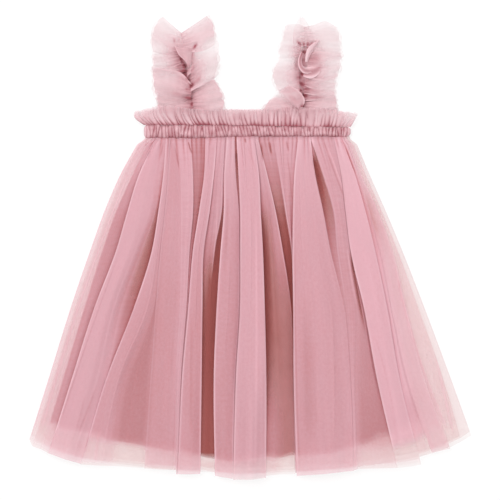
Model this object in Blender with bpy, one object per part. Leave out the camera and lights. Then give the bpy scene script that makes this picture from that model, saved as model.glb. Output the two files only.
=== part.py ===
"""Toddler party dress, laid flat on its back.

A shirred band carries a gathered skirt of two tulle layers over a lining, a
narrow frill along the band's top edge and two ruffled tulle shoulder straps.
Front and back panels lie on each other. Sizes are in millimetres and become
metres in wall(). +X is to the viewer's right, +Y runs from the hem towards the
straps, and +Z points up from the surface that the dress lies on.
"""
import math
from collections import namedtuple

import bmesh
import bpy

MM = 0.001

# Cloth and seams
CLOTH = 1.2             # thickness of every cloth wall
SEAM = 0.3              # clearance between two pieces that are sewn or lie together
STEEPEST = 2.4          # largest slope that a wall is thickened for

# Band
BAND_LEFT = -111.1
BAND_RIGHT = 105.4
BAND_BOTTOM = 115.3
BAND_TOP = 131.0
BAND_BACK_DEPTH = 3.5
BAND_EDGE_DEPTH = 2.2   # depth of the front band along its two stitch lines
BAND_BULGE = 4.6        # how far the elastic pushes its middle out past them
BAND_GATHERS = 42
GATHER_DEPTH = 1.3

# Skirt
SKIRT_TOP = BAND_BOTTOM - SEAM
HEM_HALF = 231.7        # half the width of the hem
HEM_LOW = -239.5        # the middle of the hem
HEM_RISE = 26.1         # how far the hem's arc has risen at its corners
HEM_CORNER_RISE = 14.6  # extra rise, close to the corners only
FLARE_POWER = 0.83      # below 1, so the sides leave the band wide and straighten
LINING_HEM = 0.93       # where the lining ends, as a share of the skirt's length
ROWS = (0.0, 0.05, 0.12, 0.22, 0.36, 0.54, 0.74, LINING_HEM, 1.0)
SHOULDER = 0.86         # height of a fold's shoulders against its crest
DIP = 0.8               # height between two crests of a wide fold
GATHERED = 0.22         # share of its height that a fold has at the band
FULL_HEIGHT = 0.3       # where down the skirt a fold reaches its height
SKIRT_GATHER = 1.6      # rise of the small gathers between the lines at the band
GATHERS_END = 0.26      # where down the skirt they have smoothed out

Fold = namedtuple("Fold", "name band_left band_right hem_left hem_right bow_left bow_right "
                          "height lip_left lip_right ends hem_drop crests")
# A row for each main fold of the front, left to right. The bows push its two
# sides sideways half way down, and a lip is the share of its width that a side
# takes to rise. A fold that ends before the hem flattens out there.
FOLDS = (
    Fold("side_left", -117.0, -104.0, -231.7, -214.0, 0, 0, 2.5, 0.5, 0.5, 9, 3.0, 1),
    Fold("wide_left", -102.0, -82.0, -203.0, -147.0, -3, -6, 10, 0.1, 0.35, 9, -1.0, 3),
    Fold("bowed_left", -80.0, -66.0, -110.0, -76.0, -14, 6.5, 8, 0.3, 0.3, 9, -4.5, 1),
    Fold("strip_left", -64.0, -52.0, -71.0, -50.0, 5, 1.5, 12, 0.3, 0.25, 9, -2.5, 1),
    Fold("short_left", -46.0, -32.0, -47.0, -41.0, 0, -2, 10, 0.5, 0.5, 0.42, -3.0, 1),
    Fold("low_centre", -24.0, -12.5, -38.0, -18.0, -3, 2, 6, 0.3, 0.3, 9, -3.0, 1),
    Fold("high_centre", -11.0, 8.0, -16.0, 16.0, 3.5, 4.5, 18, 0.22, 0.22, 9, 1.5, 3),
    Fold("slanting", 11.0, 20.0, 26.0, 33.0, 9, 7, 7, 0.5, 0.5, 0.52, -4.0, 1),
    Fold("short_right", 26.0, 45.0, 36.0, 43.0, 5, -1, 5, 0.5, 0.5, 0.3, -4.0, 1),
    Fold("wide_right", 51.0, 60.0, 45.0, 106.0, -2.4, 7.4, 16, 0.13, 0.3, 9, -2.0, 3),
    Fold("low_right", 64.0, 76.0, 121.0, 152.0, 3, -4.5, 8, 0.3, 0.25, 9, -2.5, 1),
    Fold("crisp_right", 78.0, 91.0, 154.0, 177.0, -5, 2.4, 11, 0.22, 0.35, 9, 2.5, 1),
    Fold("outer_right", 93.0, 100.0, 178.0, 212.0, 2.4, -4, 6, 0.2, 0.45, 9, -7.0, 1),
    Fold("side_right", 101.5, 106.0, 214.0, 231.7, 0, 0, 2.5, 0.5, 0.5, 9, -12.0, 1),
)

Layer = namedtuple("Layer", "node left right hem share every cloth")
# A row for each panel of the skirt, bottom to top: its outermost points on each
# side, counted from the sides, where it ends, the share of the folds' height
# that it takes, and how many of the points across it uses.
LAYERS = (
    Layer("skirt_back_tulle", 0, 0, 0.99, 0.0, 4, "tulle"),
    Layer("skirt_back_under_tulle", 1, 1, 0.975, 0.0, 4, "tulle"),
    Layer("lining_back", 2, 4, LINING_HEM, 0.0, 4, "lining"),
    Layer("lining_front", 2, 4, LINING_HEM, 0.35, 1, "lining"),
    Layer("skirt_front_under_tulle", 1, 1, 0.985, 0.68, 1, "tulle"),
    Layer("skirt_front_tulle", 0, 0, 1.0, 1.0, 1, "tulle"),
)

# Frill along the top of the band
FRILL_BOTTOM = BAND_TOP + SEAM
FRILL_MIDDLE = 138.5
FRILL_TOP = 146.6
FRILL_WAVES = 28
FRILL_WAVE = 1.5        # rise and fall of the front frill's free edge
FRILL_SCALLOP = 0.9     # the same edge's waver in plan
FRILL_LEFT_FLARE = (0.0, 9.6, 8.0)      # how far each end leans out, row by row
FRILL_RIGHT_FLARE = (0.0, 3.2, 7.3)
FRILL_RIGHT_DROOP = 4.0                 # the right corner hangs lower than the left

# Straps
STRAP_TUCK = 140.0      # where a strap's sewn end stops behind the frill
STRAP_EXIT = 149.0      # where it clears the frill's free edge
STRAP_BACK_LOFT = 1.6
STRAP_FRONT_LOFT = 8.5
STRAP_BACK_WAVE = 1.0
STRAP_FRONT_WAVE = 4.6
STRAP_CLOTH = 1.7       # upright measure of its wall, which slopes all over
STRAP_SCALLOP = 2.0     # how far its edge draws in between two ruffle waves
STRAP_ACROSS = (-1.0, -0.74, -0.46, -0.2, 0.0, 0.2, 0.46, 0.74, 1.0)
STRAP_SWEEP = 1.35      # above 1, so a ruffle leaves the seam level and then turns up

Ruffle = namedtuple("Ruffle", "seam_x seam_y left_reach left_rise right_reach right_rise")
# A row for each ruffle wave, from the frill up to the shoulder: where it crosses
# the gathering seam, and how far its two ends reach out and up from there.
LEFT_STRAP = (
    Ruffle(-60.5, 153.5, 38.0, 3.0, 34.5, 3.0),
    Ruffle(-61.8, 161.0, 37.6, 8.0, 32.8, 7.0),
    Ruffle(-63.8, 169.0, 38.0, 11.0, 27.0, 8.0),
    Ruffle(-66.0, 176.0, 37.0, 12.0, 34.0, 9.0),
    Ruffle(-68.6, 183.5, 34.0, 12.5, 38.0, 11.0),
    Ruffle(-71.5, 191.5, 31.0, 14.0, 40.3, 13.5),
    Ruffle(-74.1, 199.5, 30.3, 16.5, 41.5, 17.0),
    Ruffle(-76.0, 208.0, 28.5, 16.5, 40.0, 19.5),
    Ruffle(-75.2, 217.0, 23.5, 17.0, 35.5, 20.5),
    Ruffle(-73.0, 225.5, 17.5, 14.0, 29.2, 16.0),
)
RIGHT_STRAP = (
    Ruffle(55.6, 153.5, 42.5, 0.0, 38.0, -1.0),
    Ruffle(56.2, 160.0, 34.0, 2.0, 34.5, 0.0),
    Ruffle(56.4, 167.5, 30.0, 3.0, 33.5, 1.0),
    Ruffle(55.6, 175.0, 32.5, 4.5, 35.0, 1.5),
    Ruffle(54.6, 182.5, 31.0, 5.0, 38.0, 2.5),
    Ruffle(54.2, 190.5, 24.5, 6.0, 40.5, 3.5),
    Ruffle(54.4, 198.5, 24.0, 7.5, 40.5, 5.0),
    Ruffle(56.2, 207.0, 24.0, 9.0, 38.0, 7.0),
    Ruffle(57.6, 217.0, 23.0, 8.5, 35.3, 8.0),
    Ruffle(56.4, 235.0, 21.0, -2.0, 35.3, 0.0),
)

# Colours, as linear red, green and blue, then roughness
COLOURS = {
    "tulle": ((0.68, 0.36, 0.42, 1.0), 0.85),
    "lining": ((0.45, 0.19, 0.20, 1.0), 0.7),
}


def clear_scene():
    """Remove whatever the scene holds."""
    for thing in list(bpy.data.objects):
        bpy.data.objects.remove(thing, do_unlink=True)


def cloth_material(name):
    """The cloth's plain material, made once."""
    material = bpy.data.materials.get(name)
    if material:
        return material
    colour, roughness = COLOURS[name]
    material = bpy.data.materials.new(name)
    material.use_nodes = True
    surface = material.node_tree.nodes["Principled BSDF"]
    surface.inputs["Base Color"].default_value = colour
    surface.inputs["Roughness"].default_value = roughness
    material.diffuse_color = colour
    return material


def wall(name, underside, topside, cloth):
    """A closed cloth wall between two grids of points, given as rows of (x, y, z)."""
    columns = len(underside[0])
    shell = bmesh.new()
    bmesh.ops.create_grid(shell, x_segments=columns - 1, y_segments=len(underside) - 1, size=1)
    # Every cell is cut along the same diagonal, so layers on one grid never cross.
    bmesh.ops.triangulate(shell, faces=shell.faces[:], quad_method="FIXED")
    place = shell.verts.layers.int.new("place")
    for number, vert in enumerate(shell.verts):
        vert[place] = number
        vert.co = [size * MM for size in underside[number // columns][number % columns]]
    raised = bmesh.ops.extrude_face_region(shell, geom=shell.faces[:])
    for vert in (item for item in raised["geom"] if isinstance(item, bmesh.types.BMVert)):
        row, column = divmod(vert[place], columns)
        vert.co = [size * MM for size in topside[row][column]]
    bmesh.ops.triangulate(shell, faces=[face for face in shell.faces if len(face.verts) > 3])
    bmesh.ops.recalc_face_normals(shell, faces=shell.faces[:])
    mesh = bpy.data.meshes.new(name)
    shell.to_mesh(mesh)
    shell.free()
    mesh.materials.append(cloth_material(cloth))
    mesh.shade_smooth()
    mesh.set_sharp_from_angle(angle=math.radians(50))
    thing = bpy.data.objects.new(name, mesh)
    bpy.context.scene.collection.objects.link(thing)
    return thing


def smooth_step(share):
    """0 to 1 with a level start and end, held beyond both."""
    share = min(1.0, max(0.0, share))
    return share * share * (3 - 2 * share)


# ---------------------------------------------------------------- skirt

Column = namedtuple("Column", "band hem bow height ends hem_drop")


def fold_columns(fold):
    """The lines down the skirt that shape one fold: feet, shoulders and crests."""
    width_points = [(0.0, 0.0), (1.0, 0.0)]
    if fold.lip_left + fold.lip_right < 1:
        top = 1 - fold.lip_left - fold.lip_right
        width_points += [(fold.lip_left, SHOULDER), (1 - fold.lip_right, SHOULDER)]
        for number in range(fold.crests):
            across = fold.lip_left + top * (number + 1) / (fold.crests + 1)
            width_points.append((across, 1.0 if number % 2 == 0 else DIP))
    else:
        width_points.append((fold.lip_left, 1.0))
    for across, rise in sorted(width_points):
        yield Column(
            fold.band_left + across * (fold.band_right - fold.band_left),
            fold.hem_left + across * (fold.hem_right - fold.hem_left),
            fold.bow_left + across * (fold.bow_right - fold.bow_left),
            fold.height * rise, fold.ends, fold.hem_drop)


def on_skirt(column, down):
    """Where a line crosses a share of the way down, as x and y."""
    x = (column.band + (column.hem - column.band) * down ** FLARE_POWER
         + column.bow * 4 * down * (1 - down))
    out = column.hem / HEM_HALF
    hem = HEM_LOW + HEM_RISE * out ** 2 + HEM_CORNER_RISE * out ** 8 - column.hem_drop
    return x, SKIRT_TOP + (hem - SKIRT_TOP) * down


def fold_height(column, down):
    """How high the fold stands there above flat cloth."""
    swell = GATHERED + (1 - GATHERED) * smooth_step(down / FULL_HEIGHT)
    fade = 1 - smooth_step((down - 0.5 * column.ends) / (0.5 * column.ends))
    return column.height * swell * fade


def gather_height(point, down):
    """How far a small gather rises: every other line of the front, near the band only."""
    return SKIRT_GATHER * (point % 2) * (1 - smooth_step(down / GATHERS_END))


def steepness(heights, places, column):
    """How much taller than its thickness a wall stands where it slopes sideways."""
    slope = 0.0
    for other in (column - 1, column + 1):
        if 0 <= other < len(heights):
            run = abs(places[other][0] - places[column][0])
            slope = max(slope, abs(heights[other] - heights[column]) / run)
    return math.hypot(1, min(slope, STEEPEST))


def make_skirt():
    """Lay the skirt's panels on each other, the back tulle first."""
    columns = [column for fold in FOLDS for column in fold_columns(fold)]
    last = len(columns) - 1
    laid = [[0.0] * len(columns) for row in ROWS]       # top of what lies there so far
    flat = [[0.0] * len(columns) for row in ROWS]       # the same without any folds
    for layer in LAYERS:
        across = range(layer.left, last - layer.right + 1)
        used = sorted(set(list(across)[::layer.every]) | {across[-1]})
        underside, topside = [], []
        for number, down in enumerate(ROWS):
            if down > LINING_HEM and layer.hem <= LINING_HEM:
                break
            ends = min(down, layer.hem)
            places = [on_skirt(column, ends) for column in columns]
            low = list(laid[number])
            for point in across:
                rise = fold_height(columns[point], ends) + gather_height(point, ends)
                wish = flat[number][point] + layer.share * rise
                low[point] = max(low[point], wish)
            thick = [CLOTH * steepness(low, places, point) for point in range(len(columns))]
            underside.append([(*places[point], low[point]) for point in used])
            topside.append([(*places[point], low[point] + thick[point]) for point in used])
            for point in across:
                gap = SEAM * thick[point] / CLOTH
                laid[number][point] = low[point] + thick[point] + gap
                flat[number][point] += CLOTH + SEAM
        wall(layer.node, underside, topside, layer.cloth)


# ---------------------------------------------------------------- band

def make_band():
    """The elastic band: a plain back, and a front with its gathers raised outside."""
    upright = (0.0, 0.3, 0.7, 1.0)
    bulge = (0.0, 1.0, 1.0, 0.0)
    floor = BAND_BACK_DEPTH + SEAM
    back_low, back_top, front_low, front_top = [], [], [], []
    for share, swell in zip(upright, bulge):
        y = BAND_BOTTOM + share * (BAND_TOP - BAND_BOTTOM)
        line = []
        for number in range(2 * BAND_GATHERS + 1):
            across = number / (2 * BAND_GATHERS)
            ridge = number % 2 * GATHER_DEPTH * (0.4 + 0.6 * swell)
            depth = BAND_EDGE_DEPTH + BAND_BULGE * swell * (1 - (2 * across - 1) ** 8) + ridge
            line.append((BAND_LEFT + across * (BAND_RIGHT - BAND_LEFT), y, depth))
        front_low.append([(x, y, floor) for x, y, depth in line])
        front_top.append([(x, y, floor + depth) for x, y, depth in line])
        back_low.append([(x, y, 0.0) for x, y, depth in line[::6]])
        back_top.append([(x, y, BAND_BACK_DEPTH) for x, y, depth in line[::6]])
    wall("band_back", back_low, back_top, "tulle")
    wall("band_front", front_low, front_top, "tulle")


# ---------------------------------------------------------------- frill

def frill_point(across, row, waver):
    """A point of the frill in plan, on its base (0), middle (1) or free edge (2)."""
    left = BAND_LEFT - FRILL_LEFT_FLARE[row]
    right = BAND_RIGHT + FRILL_RIGHT_FLARE[row]
    y = (FRILL_BOTTOM, FRILL_MIDDLE, FRILL_TOP)[row]
    y -= row / 2 * FRILL_RIGHT_DROOP * across ** 12
    return left + across * (right - left), y + row / 2 * FRILL_SCALLOP * waver


def make_frill():
    """The frill's two halves, flat at the back and waved along the front."""
    step = 4
    points = FRILL_WAVES * step
    floor = CLOTH + 2 * SEAM + STRAP_CLOTH * 2 + SEAM
    base = (BAND_BACK_DEPTH + SEAM, floor, floor + 0.4)
    back_low, back_top, front_low, front_top = [], [], [], []
    for row, height in enumerate(base):
        low, top = [], []
        for number in range(points + 1):
            across = number / points
            wave = math.cos(math.tau * number / step)
            x, y = frill_point(across, row, wave)
            lift = height + (row / 2) * FRILL_WAVE * (1 + wave)
            low.append((x, y, lift))
            top.append((x, y, lift + CLOTH * 1.2))
        front_low.append(low)
        front_top.append(top)
        plain = [frill_point(number / points, row, -1) for number in range(0, points + 1, 8)]
        back_low.append([(x, y, 0.0) for x, y in plain])
        back_top.append([(x, y, CLOTH) for x, y in plain])
    wall("frill_back", back_low, back_top, "tulle")
    wall("frill_front", front_low, front_top, "tulle")


# ---------------------------------------------------------------- straps

def strap_rows(ruffles):
    """Crest and trough lines of the ruffle, after its level stretch behind the frill."""
    first = ruffles[0]
    for y in (STRAP_TUCK, STRAP_EXIT):
        yield Ruffle(first.seam_x, y, first.left_reach, 0.0, first.right_reach, 0.0), 0.0, y
    for lower, upper in zip(ruffles, ruffles[1:]):
        yield lower, 1.0, lower.seam_y
        middle = Ruffle(*((low + high) / 2 for low, high in zip(lower, upper)))
        yield (middle._replace(left_reach=middle.left_reach - STRAP_SCALLOP,
                               right_reach=middle.right_reach - STRAP_SCALLOP),
               0.0, middle.seam_y)
    yield ruffles[-1], 0.6, ruffles[-1].seam_y


def strap_grid(ruffles, loft, wave, level):
    """Rows of points for one stretch of strap: level() gives the height at the seam."""
    rows = []
    for ruffle, crest, along in strap_rows(ruffles):
        row = []
        puff = smooth_step((along - STRAP_EXIT) / 12)
        for across in STRAP_ACROSS:
            out = abs(across)
            reach = ruffle.left_reach if across < 0 else ruffle.right_reach
            rise = ruffle.left_rise if across < 0 else ruffle.right_rise
            lift = loft * math.sin(math.pi * 0.75 * out) + wave * crest * smooth_step(out / 0.46)
            row.append((ruffle.seam_x + across * reach,
                        ruffle.seam_y + rise * out ** STRAP_SWEEP,
                        level(along) + puff * lift))
        rows.append(row)
    return rows


def make_strap(side, ruffles):
    """One strap, folded at the shoulder: a back stretch and the front stretch on it."""
    on_frill = CLOTH + SEAM
    back_low = strap_grid(ruffles, 0.0, 0.0, lambda y: on_frill if y <= STRAP_EXIT else 0.0)
    back_top = strap_grid(ruffles, STRAP_BACK_LOFT, STRAP_BACK_WAVE,
                          lambda y: STRAP_CLOTH + (on_frill if y <= STRAP_EXIT else 0.0))
    front_low = strap_grid(ruffles, STRAP_FRONT_LOFT, STRAP_FRONT_WAVE,
                           lambda y: STRAP_CLOTH + SEAM + on_frill)
    front_top = [[(x, y, z + STRAP_CLOTH) for x, y, z in row] for row in front_low]
    wall(f"strap_{side}_back", back_low, back_top, "tulle")
    wall(f"strap_{side}_front", front_low, front_top, "tulle")


def main():
    clear_scene()
    make_skirt()
    make_band()
    make_frill()
    make_strap("left", LEFT_STRAP)
    make_strap("right", RIGHT_STRAP)


main()
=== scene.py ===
"""The looks of a toddler party dress that lies flat on its back.

Sheer tulle is laid over a darker lining in folds that run from a shirred band
to the hem. The band carries a frill and two ruffled shoulder straps. Lengths in
the tables are in millimetres and become metres where a mesh is made.
"""
import math
from collections import namedtuple

import bmesh
import bpy
import numpy as np
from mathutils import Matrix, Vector
from bpy.props import FloatProperty, FloatVectorProperty, PointerProperty
from bpy.types import Operator, Panel, PropertyGroup


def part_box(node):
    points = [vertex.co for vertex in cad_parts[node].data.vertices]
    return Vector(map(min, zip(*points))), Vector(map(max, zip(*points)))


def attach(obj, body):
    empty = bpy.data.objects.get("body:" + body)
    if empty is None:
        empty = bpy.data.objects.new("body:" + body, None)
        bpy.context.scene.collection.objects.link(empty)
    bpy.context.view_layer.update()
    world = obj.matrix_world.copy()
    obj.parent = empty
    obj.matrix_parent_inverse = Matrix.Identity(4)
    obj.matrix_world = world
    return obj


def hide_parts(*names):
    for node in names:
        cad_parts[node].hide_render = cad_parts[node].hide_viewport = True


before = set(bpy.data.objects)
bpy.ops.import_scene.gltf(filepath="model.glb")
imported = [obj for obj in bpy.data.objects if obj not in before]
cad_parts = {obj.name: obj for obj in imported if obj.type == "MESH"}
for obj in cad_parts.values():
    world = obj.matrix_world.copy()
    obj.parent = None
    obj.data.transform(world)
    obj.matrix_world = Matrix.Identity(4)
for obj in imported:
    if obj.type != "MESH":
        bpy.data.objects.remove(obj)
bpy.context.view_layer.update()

bl_info = {
    "name": "Toddler party dress",
    "version": (1, 0, 0),
    "blender": (4, 5, 0),
    "location": "3D View > Sidebar > Dress",
    "description": "Models and finishes a gathered tulle dress that lies flat",
    "category": "Object",
}

MM = 0.001

# Places of the sewn seams, from the solids
BAND_LOW, BAND_HIGH = ([size / MM for size in corner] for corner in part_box("band_front"))
BAND_LEFT, BAND_BOTTOM, BAND_FLOOR = BAND_LOW
BAND_RIGHT, BAND_TOP, BAND_CROWN = BAND_HIGH
SKIRT_LOW, SKIRT_HIGH = ([size / MM for size in corner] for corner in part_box("skirt_front_tulle"))
SKIRT_TOP = SKIRT_HIGH[1]
HEM_HALF = (SKIRT_HIGH[0] - SKIRT_LOW[0]) / 2

# The skirt's outline
HEM_LOW = -239.5
HEM_RISE = 26.1
HEM_CORNER_RISE = 14.6
GATHERED = 0.25         # share of its height that a fold has at the band
FULL_HEIGHT = 0.3       # where down the skirt a fold reaches its height
CREASE_PAIR = 0.3       # width of a folded edge's step
EDGE_STEP = 0.75        # share of a fold's height that is in this step
CRISP_RISE = 3.0        # width over which its top rounds off
HEM_SOFTNESS = 0.8      # share of its step that a fold loses towards the hem
TOP_TUCK = 5.2          # how far the skirt's top reaches up below the band
CORNER_PULL = 6.5       # how far the skirt's top corners are drawn in below the band
CORNER_START, CORNER_SPAN = 92, 20      # how far out from the middle that starts, and over what
CORNER_HEIGHT, CORNER_FADE = 109, 9     # how high up it starts, and over what
HEM_FADE_TOP, HEM_FADE_SPAN = -100, 100     # where a fold starts to lose its step
PANEL_GATHERS = 44      # gathers below the band across a panel
GATHER_SEED = 11
SOFT_EDGE = 7.0         # width over which a soft crease changes tone
THINNEST = 0.10         # how much tulle crosses the deepest hollow
LINING_WANDER = 1.2     # how far the lining's hem wanders up and down
OUTLINE_VEIL = 0.16     # more tulle shows where the sides turn over

# Heights at which the strips' lines run through the places given, at which their
# shades hold, and at which a fold's two heights and its edge's two values hold
LINE_STATIONS = (114, 80, 40, 0, -60, -130, -240)
SHADE_STATIONS = (95, 25, -55, -185)
HEIGHT_STATIONS = (40, -60)


def table_of(row_kind, *rows):
    """A table whose rows have named columns."""
    return tuple(row_kind(*row) for row in rows)


Strip = namedtuple("Strip", "name line hem height edge veil shade lean")
# A row for each strip of the skirt between two creases, left to right: the folds, and
# the hollows between them. The line is its left crease, and the hem is the height of
# its hem's two ends. An edge of 1 is a crisp one of its own that lies on its left
# neighbour, and of -1 the neighbour's that lies on it; a crisp edge gets a painted
# highlight along its top and a painted shadow on the strip below it. Shades are painted
# shade, from a lit fold at 0 to a hollow at 1, and the lean says towards which side
# they deepen.
STRIPS = table_of(
    Strip,
    ("edge_left", (-116, -135, -152.5, -167, -187.5, -209.3, -244), (-199, -206),
     (1, 1.5), (0, 0), 0.45, (0, 0, 0, 0), 0),
    ("sheer_left", (-113, -131.5, -148.5, -162.5, -183, -204.5, -238), (-206, -209),
     (1.5, 2), (0.3, 0.3), 0.46, (0, 0, 0, 0), 0),
    ("band_left", (-106, -122, -140, -154, -173, -194, -227), (-209, -213),
     (1, 2), (0, 0), 0.54, (-0.2, 0.24, 0.10, 0.10), 0.9),
    ("wide_left", (-99, -115.5, -128, -139.5, -162.2, -184.6, -219), (-213, -224),
     (8, 10), (0.95, 0.95), 0.74, (0.0, -0.05, -0.05, -0.05), 0.6),
    ("groove_left", (-92, -94.5, -99.5, -113.5, -135, -149, -182), (-224, -224.4),
     (3, 1), (0, 0), 0.66, (0.05, 0.72, 0.60, -0.3), 0.9),
    ("bowed_left", (-88, -90.5, -95.8, -102.3, -121, -148.5, -181.5), (-224.5, -226),
     (6, 8), (0.85, 0.85), 0.68, (0.02, -0.06, 0.16, 0.14), 0.3),
    ("patch_left", (-84, -86, -89.5, -94, -100.5, -129, -145), (-226, -228),
     (6, 5), (0, 0), 0.56, (0.0, 0.05, 0.42, 0.46), 0),
    ("bowed_right", (-83.5, -85.5, -89, -93.5, -98.5, -103.5, -111), (-228.5, -230),
     (6, 7), (0.2, 0.2), 0.68, (0.22, 0.14, 0.28, 0.26), -0.3),
    ("strip_left", (-76, -72.5, -72, -72, -73.5, -77.5, -77), (-234.5, -234.5),
     (8, 8), (0.2, 0.2), 0.72, (0.02, 0.0, 0.02, 0.02), 0.2),
    ("crevice_left", (-61.5, -59.5, -59.3, -62.8, -66.2, -71.8, -76), (-234.5, -234.5),
     (2, 7), (-0.7, -0.5), 0.60, (0.50, 0.55, 0.08, -0.1), 0.7),
    ("pleat_a", (-46.8, -47.8, -53.3, -59.5, -64.6, -70.8, -75.5), (-234.5, -234.5),
     (9, 8), (0.8, 0.8), 0.70, (0.05, 0.06, 0.27, 0.28), 0.6),
    ("slit_a", (-34.5, -37.3, -42, -48, -49.5, -50.3, -51.8), (-230.5, -231),
     (3, 0), (-0.85, -0.85), 0.60, (0.05, 0.20, 0.85, 1.0), 0.2),
    ("pleat_b", (-33.5, -36.5, -40, -43.5, -44.5, -45.5, -46), (-231, -232),
     (7, 0), (0, 0), 0.62, (0.0, 0.10, 1.25, 1.55), 0),
    ("slit_b", (-26, -28, -29.3, -36.5, -41, -41.5, -42), (-232, -233),
     (1, 0), (-0.6, -0.6), 0.50, (-0.6, 0.85, 1.55, 1.0), 0),
    ("low_centre", (-24.5, -26.8, -27.5, -30.7, -34.8, -37.8, -36.5), (-236.5, -239.5),
     (6, 6), (0.95, 0.95), 0.66, (-0.25, 0.10, 0.20, 0.28), 0.4),
    ("crevice_centre", (-15.8, -14.8, -11.3, -10.7, -11, -15, -18), (-239.5, -239.5),
     (1, 4), (-0.5, -0.5), 0.50, (0.8, 0.25, 0.2, 0.2), 0),
    ("high_centre", (-13.9, -12.1, -10.4, -10.3, -10.6, -14.6, -17.6), (-240.5, -238.5),
     (12, 18), (0.8, 0.8), 0.74, (0.02, 0.04, 0.06, 0.02), 0),
    ("gap_right", (5, 9.5, 11.4, 13.6, 15.6, 17.2, 17), (-236.5, -235),
     (6, 0.5), (-0.9, -0.9), 0.58, (-0.7, 0.76, 0.95, 0.45), -0.5),
    ("slanting", (6.5, 11.5, 19, 22.5, 26, 30, 32), (-235, -234.5),
     (8, 1), (0, 0), 0.62, (-0.1, 0.27, 0.66, 0.66), 0),
    ("slit_slanting", (9, 17.8, 27, 34.3, 43.3, 45.1, 47), (-234.5, -233.5),
     (2, 0), (-0.8, -0.8), 0.50, (0.2, 0.96, 1.8, 0.55), 0.2),
    ("short_right", (25, 30.5, 36.8, 43.2, 44.9, 45.3, 47.5), (-233.5, -233.5),
     (7, 3), (0.6, 0.6), 0.66, (0.05, 0.35, 0.40, 0.35), 0.4),
    ("wide_right", (50, 46.4, 44.9, 44.2, 45, 45.4, 49), (-236.5, -231),
     (10, 15), (0.95, 0.75), 0.72, (-0.06, 0.08, 0.15, 0.15), -0.5),
    ("groove_right", (63.4, 68, 76.5, 84, 98, 104.5, 108), (-231, -230.5),
     (3, 6), (-0.6, 0), 0.62, (1.15, 0.60, 0.22, 0.0), -1.0),
    ("low_right", (64.2, 75.6, 87, 91, 100, 105, 109), (-230.5, -229),
     (7, 5.5), (0.6, 0), 0.68, (0.06, 0.14, 0.22, -0.04), 0),
    ("patch_right", (87.5, 94.5, 99, 104, 111, 110, 113), (-229, -228),
     (6, 5), (0, 0), 0.58, (0.0, 0.0, 0.16, 0.46), 0.3),
    ("crisp_right", (88, 95, 99.5, 104.6, 118.6, 131.5, 157), (-228, -224.5),
     (5, 11), (0.5, 0.95), 0.84, (-0.2, -0.05, 0.0, -0.1), 0.4),
    ("outer_right", (96.5, 109.3, 120.8, 130.5, 143.2, 155.3, 183), (-216.5, -212),
     (4, 5), (-0.6, -0.6), 0.84, (0.30, 0.26, -0.36, -0.08), -0.6),
    ("thin_right", (99, 111, 124, 136, 148, 163, 200), (-212, -208),
     (3, 3), (0, 0), 0.6, (0, 0.12, 0, 0), 0),
    ("sheer_right", (102.5, 115.5, 134, 148.5, 163, 181, 222), (-203, -197),
     (2, 2), (-0.5, -0.5), 0.38, (0, 0, 0, 0), 0),
    ("edge_right", (106.5, 120.5, 138, 154, 176, 200.5, 232), (-197, -190.5),
     (1, 1.5), (-0.5, -0.5), 0.28, (0, 0, 0, 0), 0),
)
# Places along the lining's hem
LINING_HEM = ((-214, -183), (-205, -187), (-151, -199), (-110, -206), (-60, -215), (-19, -222),
              (16, -218), (85, -213), (139, -199), (170, -190), (197, -176))
# How much sheerer the hem is at strips of these numbers
SHEER_HEM = ((3, 0.14), (4, 0.24), (5, 0.36), (6, 0.42), (7, 0.26), (8, 0.14), (15, 0.14),
             (16, 0.28), (18, 0.36), (20, 0.14), (23, 0.14), (24, 0.24), (25, 0.60), (26, 0.56),
             (27, 0.20))
RIGHT_OUTLINE = (110.5, 124.6, 142.3, 159, 182.4, 208.5, 248)

Layer = namedtuple("Layer", "piece node slot first last hem levels share pitch rows veil marks "
                            "gathers ridges cut held rests_on")
# A row for each panel of the skirt, from its first strip to its last. Levels are its
# height above the table at the sides, a little way in, and in the middle. The cut is
# the flat size, in metres, of the cloth modelled here: a real panel is gathered more
# closely and takes more.
LAYERS = table_of(
    Layer,
    ("back_outer_tulle", "skirt_back_tulle", "tulle", "edge_left", "edge_right", 0.985,
     (0.5, 0.6, 0.6), 0.0, 4.0, 40, 0.42, 0.0, 0.0, 0, (0.463, 0.345), "laid", ()),
    ("back_inner_tulle", "skirt_back_under_tulle", "tulle", "sheer_left", "sheer_right", 0.97,
     (0.9, 1.5, 1.7), 0.0, 4.0, 40, 0.42, 0.0, 0.0, 0, (0.445, 0.34), "laid",
     ("back_outer_tulle",)),
    ("back_lining", "lining_back", "lining", "band_left", "outer_right", 0.985,
     (1.2, 2.4, 2.8), 0.0, 4.0, 40, 1.0, 0.0, 0.0, 0, (0.42, 0.32), "laid",
     ("back_inner_tulle",)),
    ("front_lining", "lining_front", "lining", "band_left", "outer_right", 1.0,
     (1.7, 3.5, 4.2), 0.35, 1.6, 90, 1.0, 0.0, 0.35, 26, (0.44, 0.325), "gathered",
     ("back_lining",)),
    ("front_inner_tulle", "skirt_front_under_tulle", "tulle", "sheer_left", "sheer_right", 0.985,
     (2.1, 5.0, 6.0), 0.68, 1.2, 90, 0.55, 0.8, 0.5, 18, (0.50, 0.345), "gathered",
     ("front_lining",)),
    ("front_outer_tulle", "skirt_front_tulle", "tulle", "edge_left", "edge_right", 1.0,
     (2.5, 6.4, 7.8), 1.0, 0.85, 120, 1.0, 1.0, 1.0, 26, (0.54, 0.35), "gathered",
     ("front_inner_tulle",)),
)

Mark = namedtuple("Mark", "name top bottom x_top x_middle x_bottom left right veil deepen lift "
                          "fade_in fade_out", defaults=(0.15, 0.2))
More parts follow.
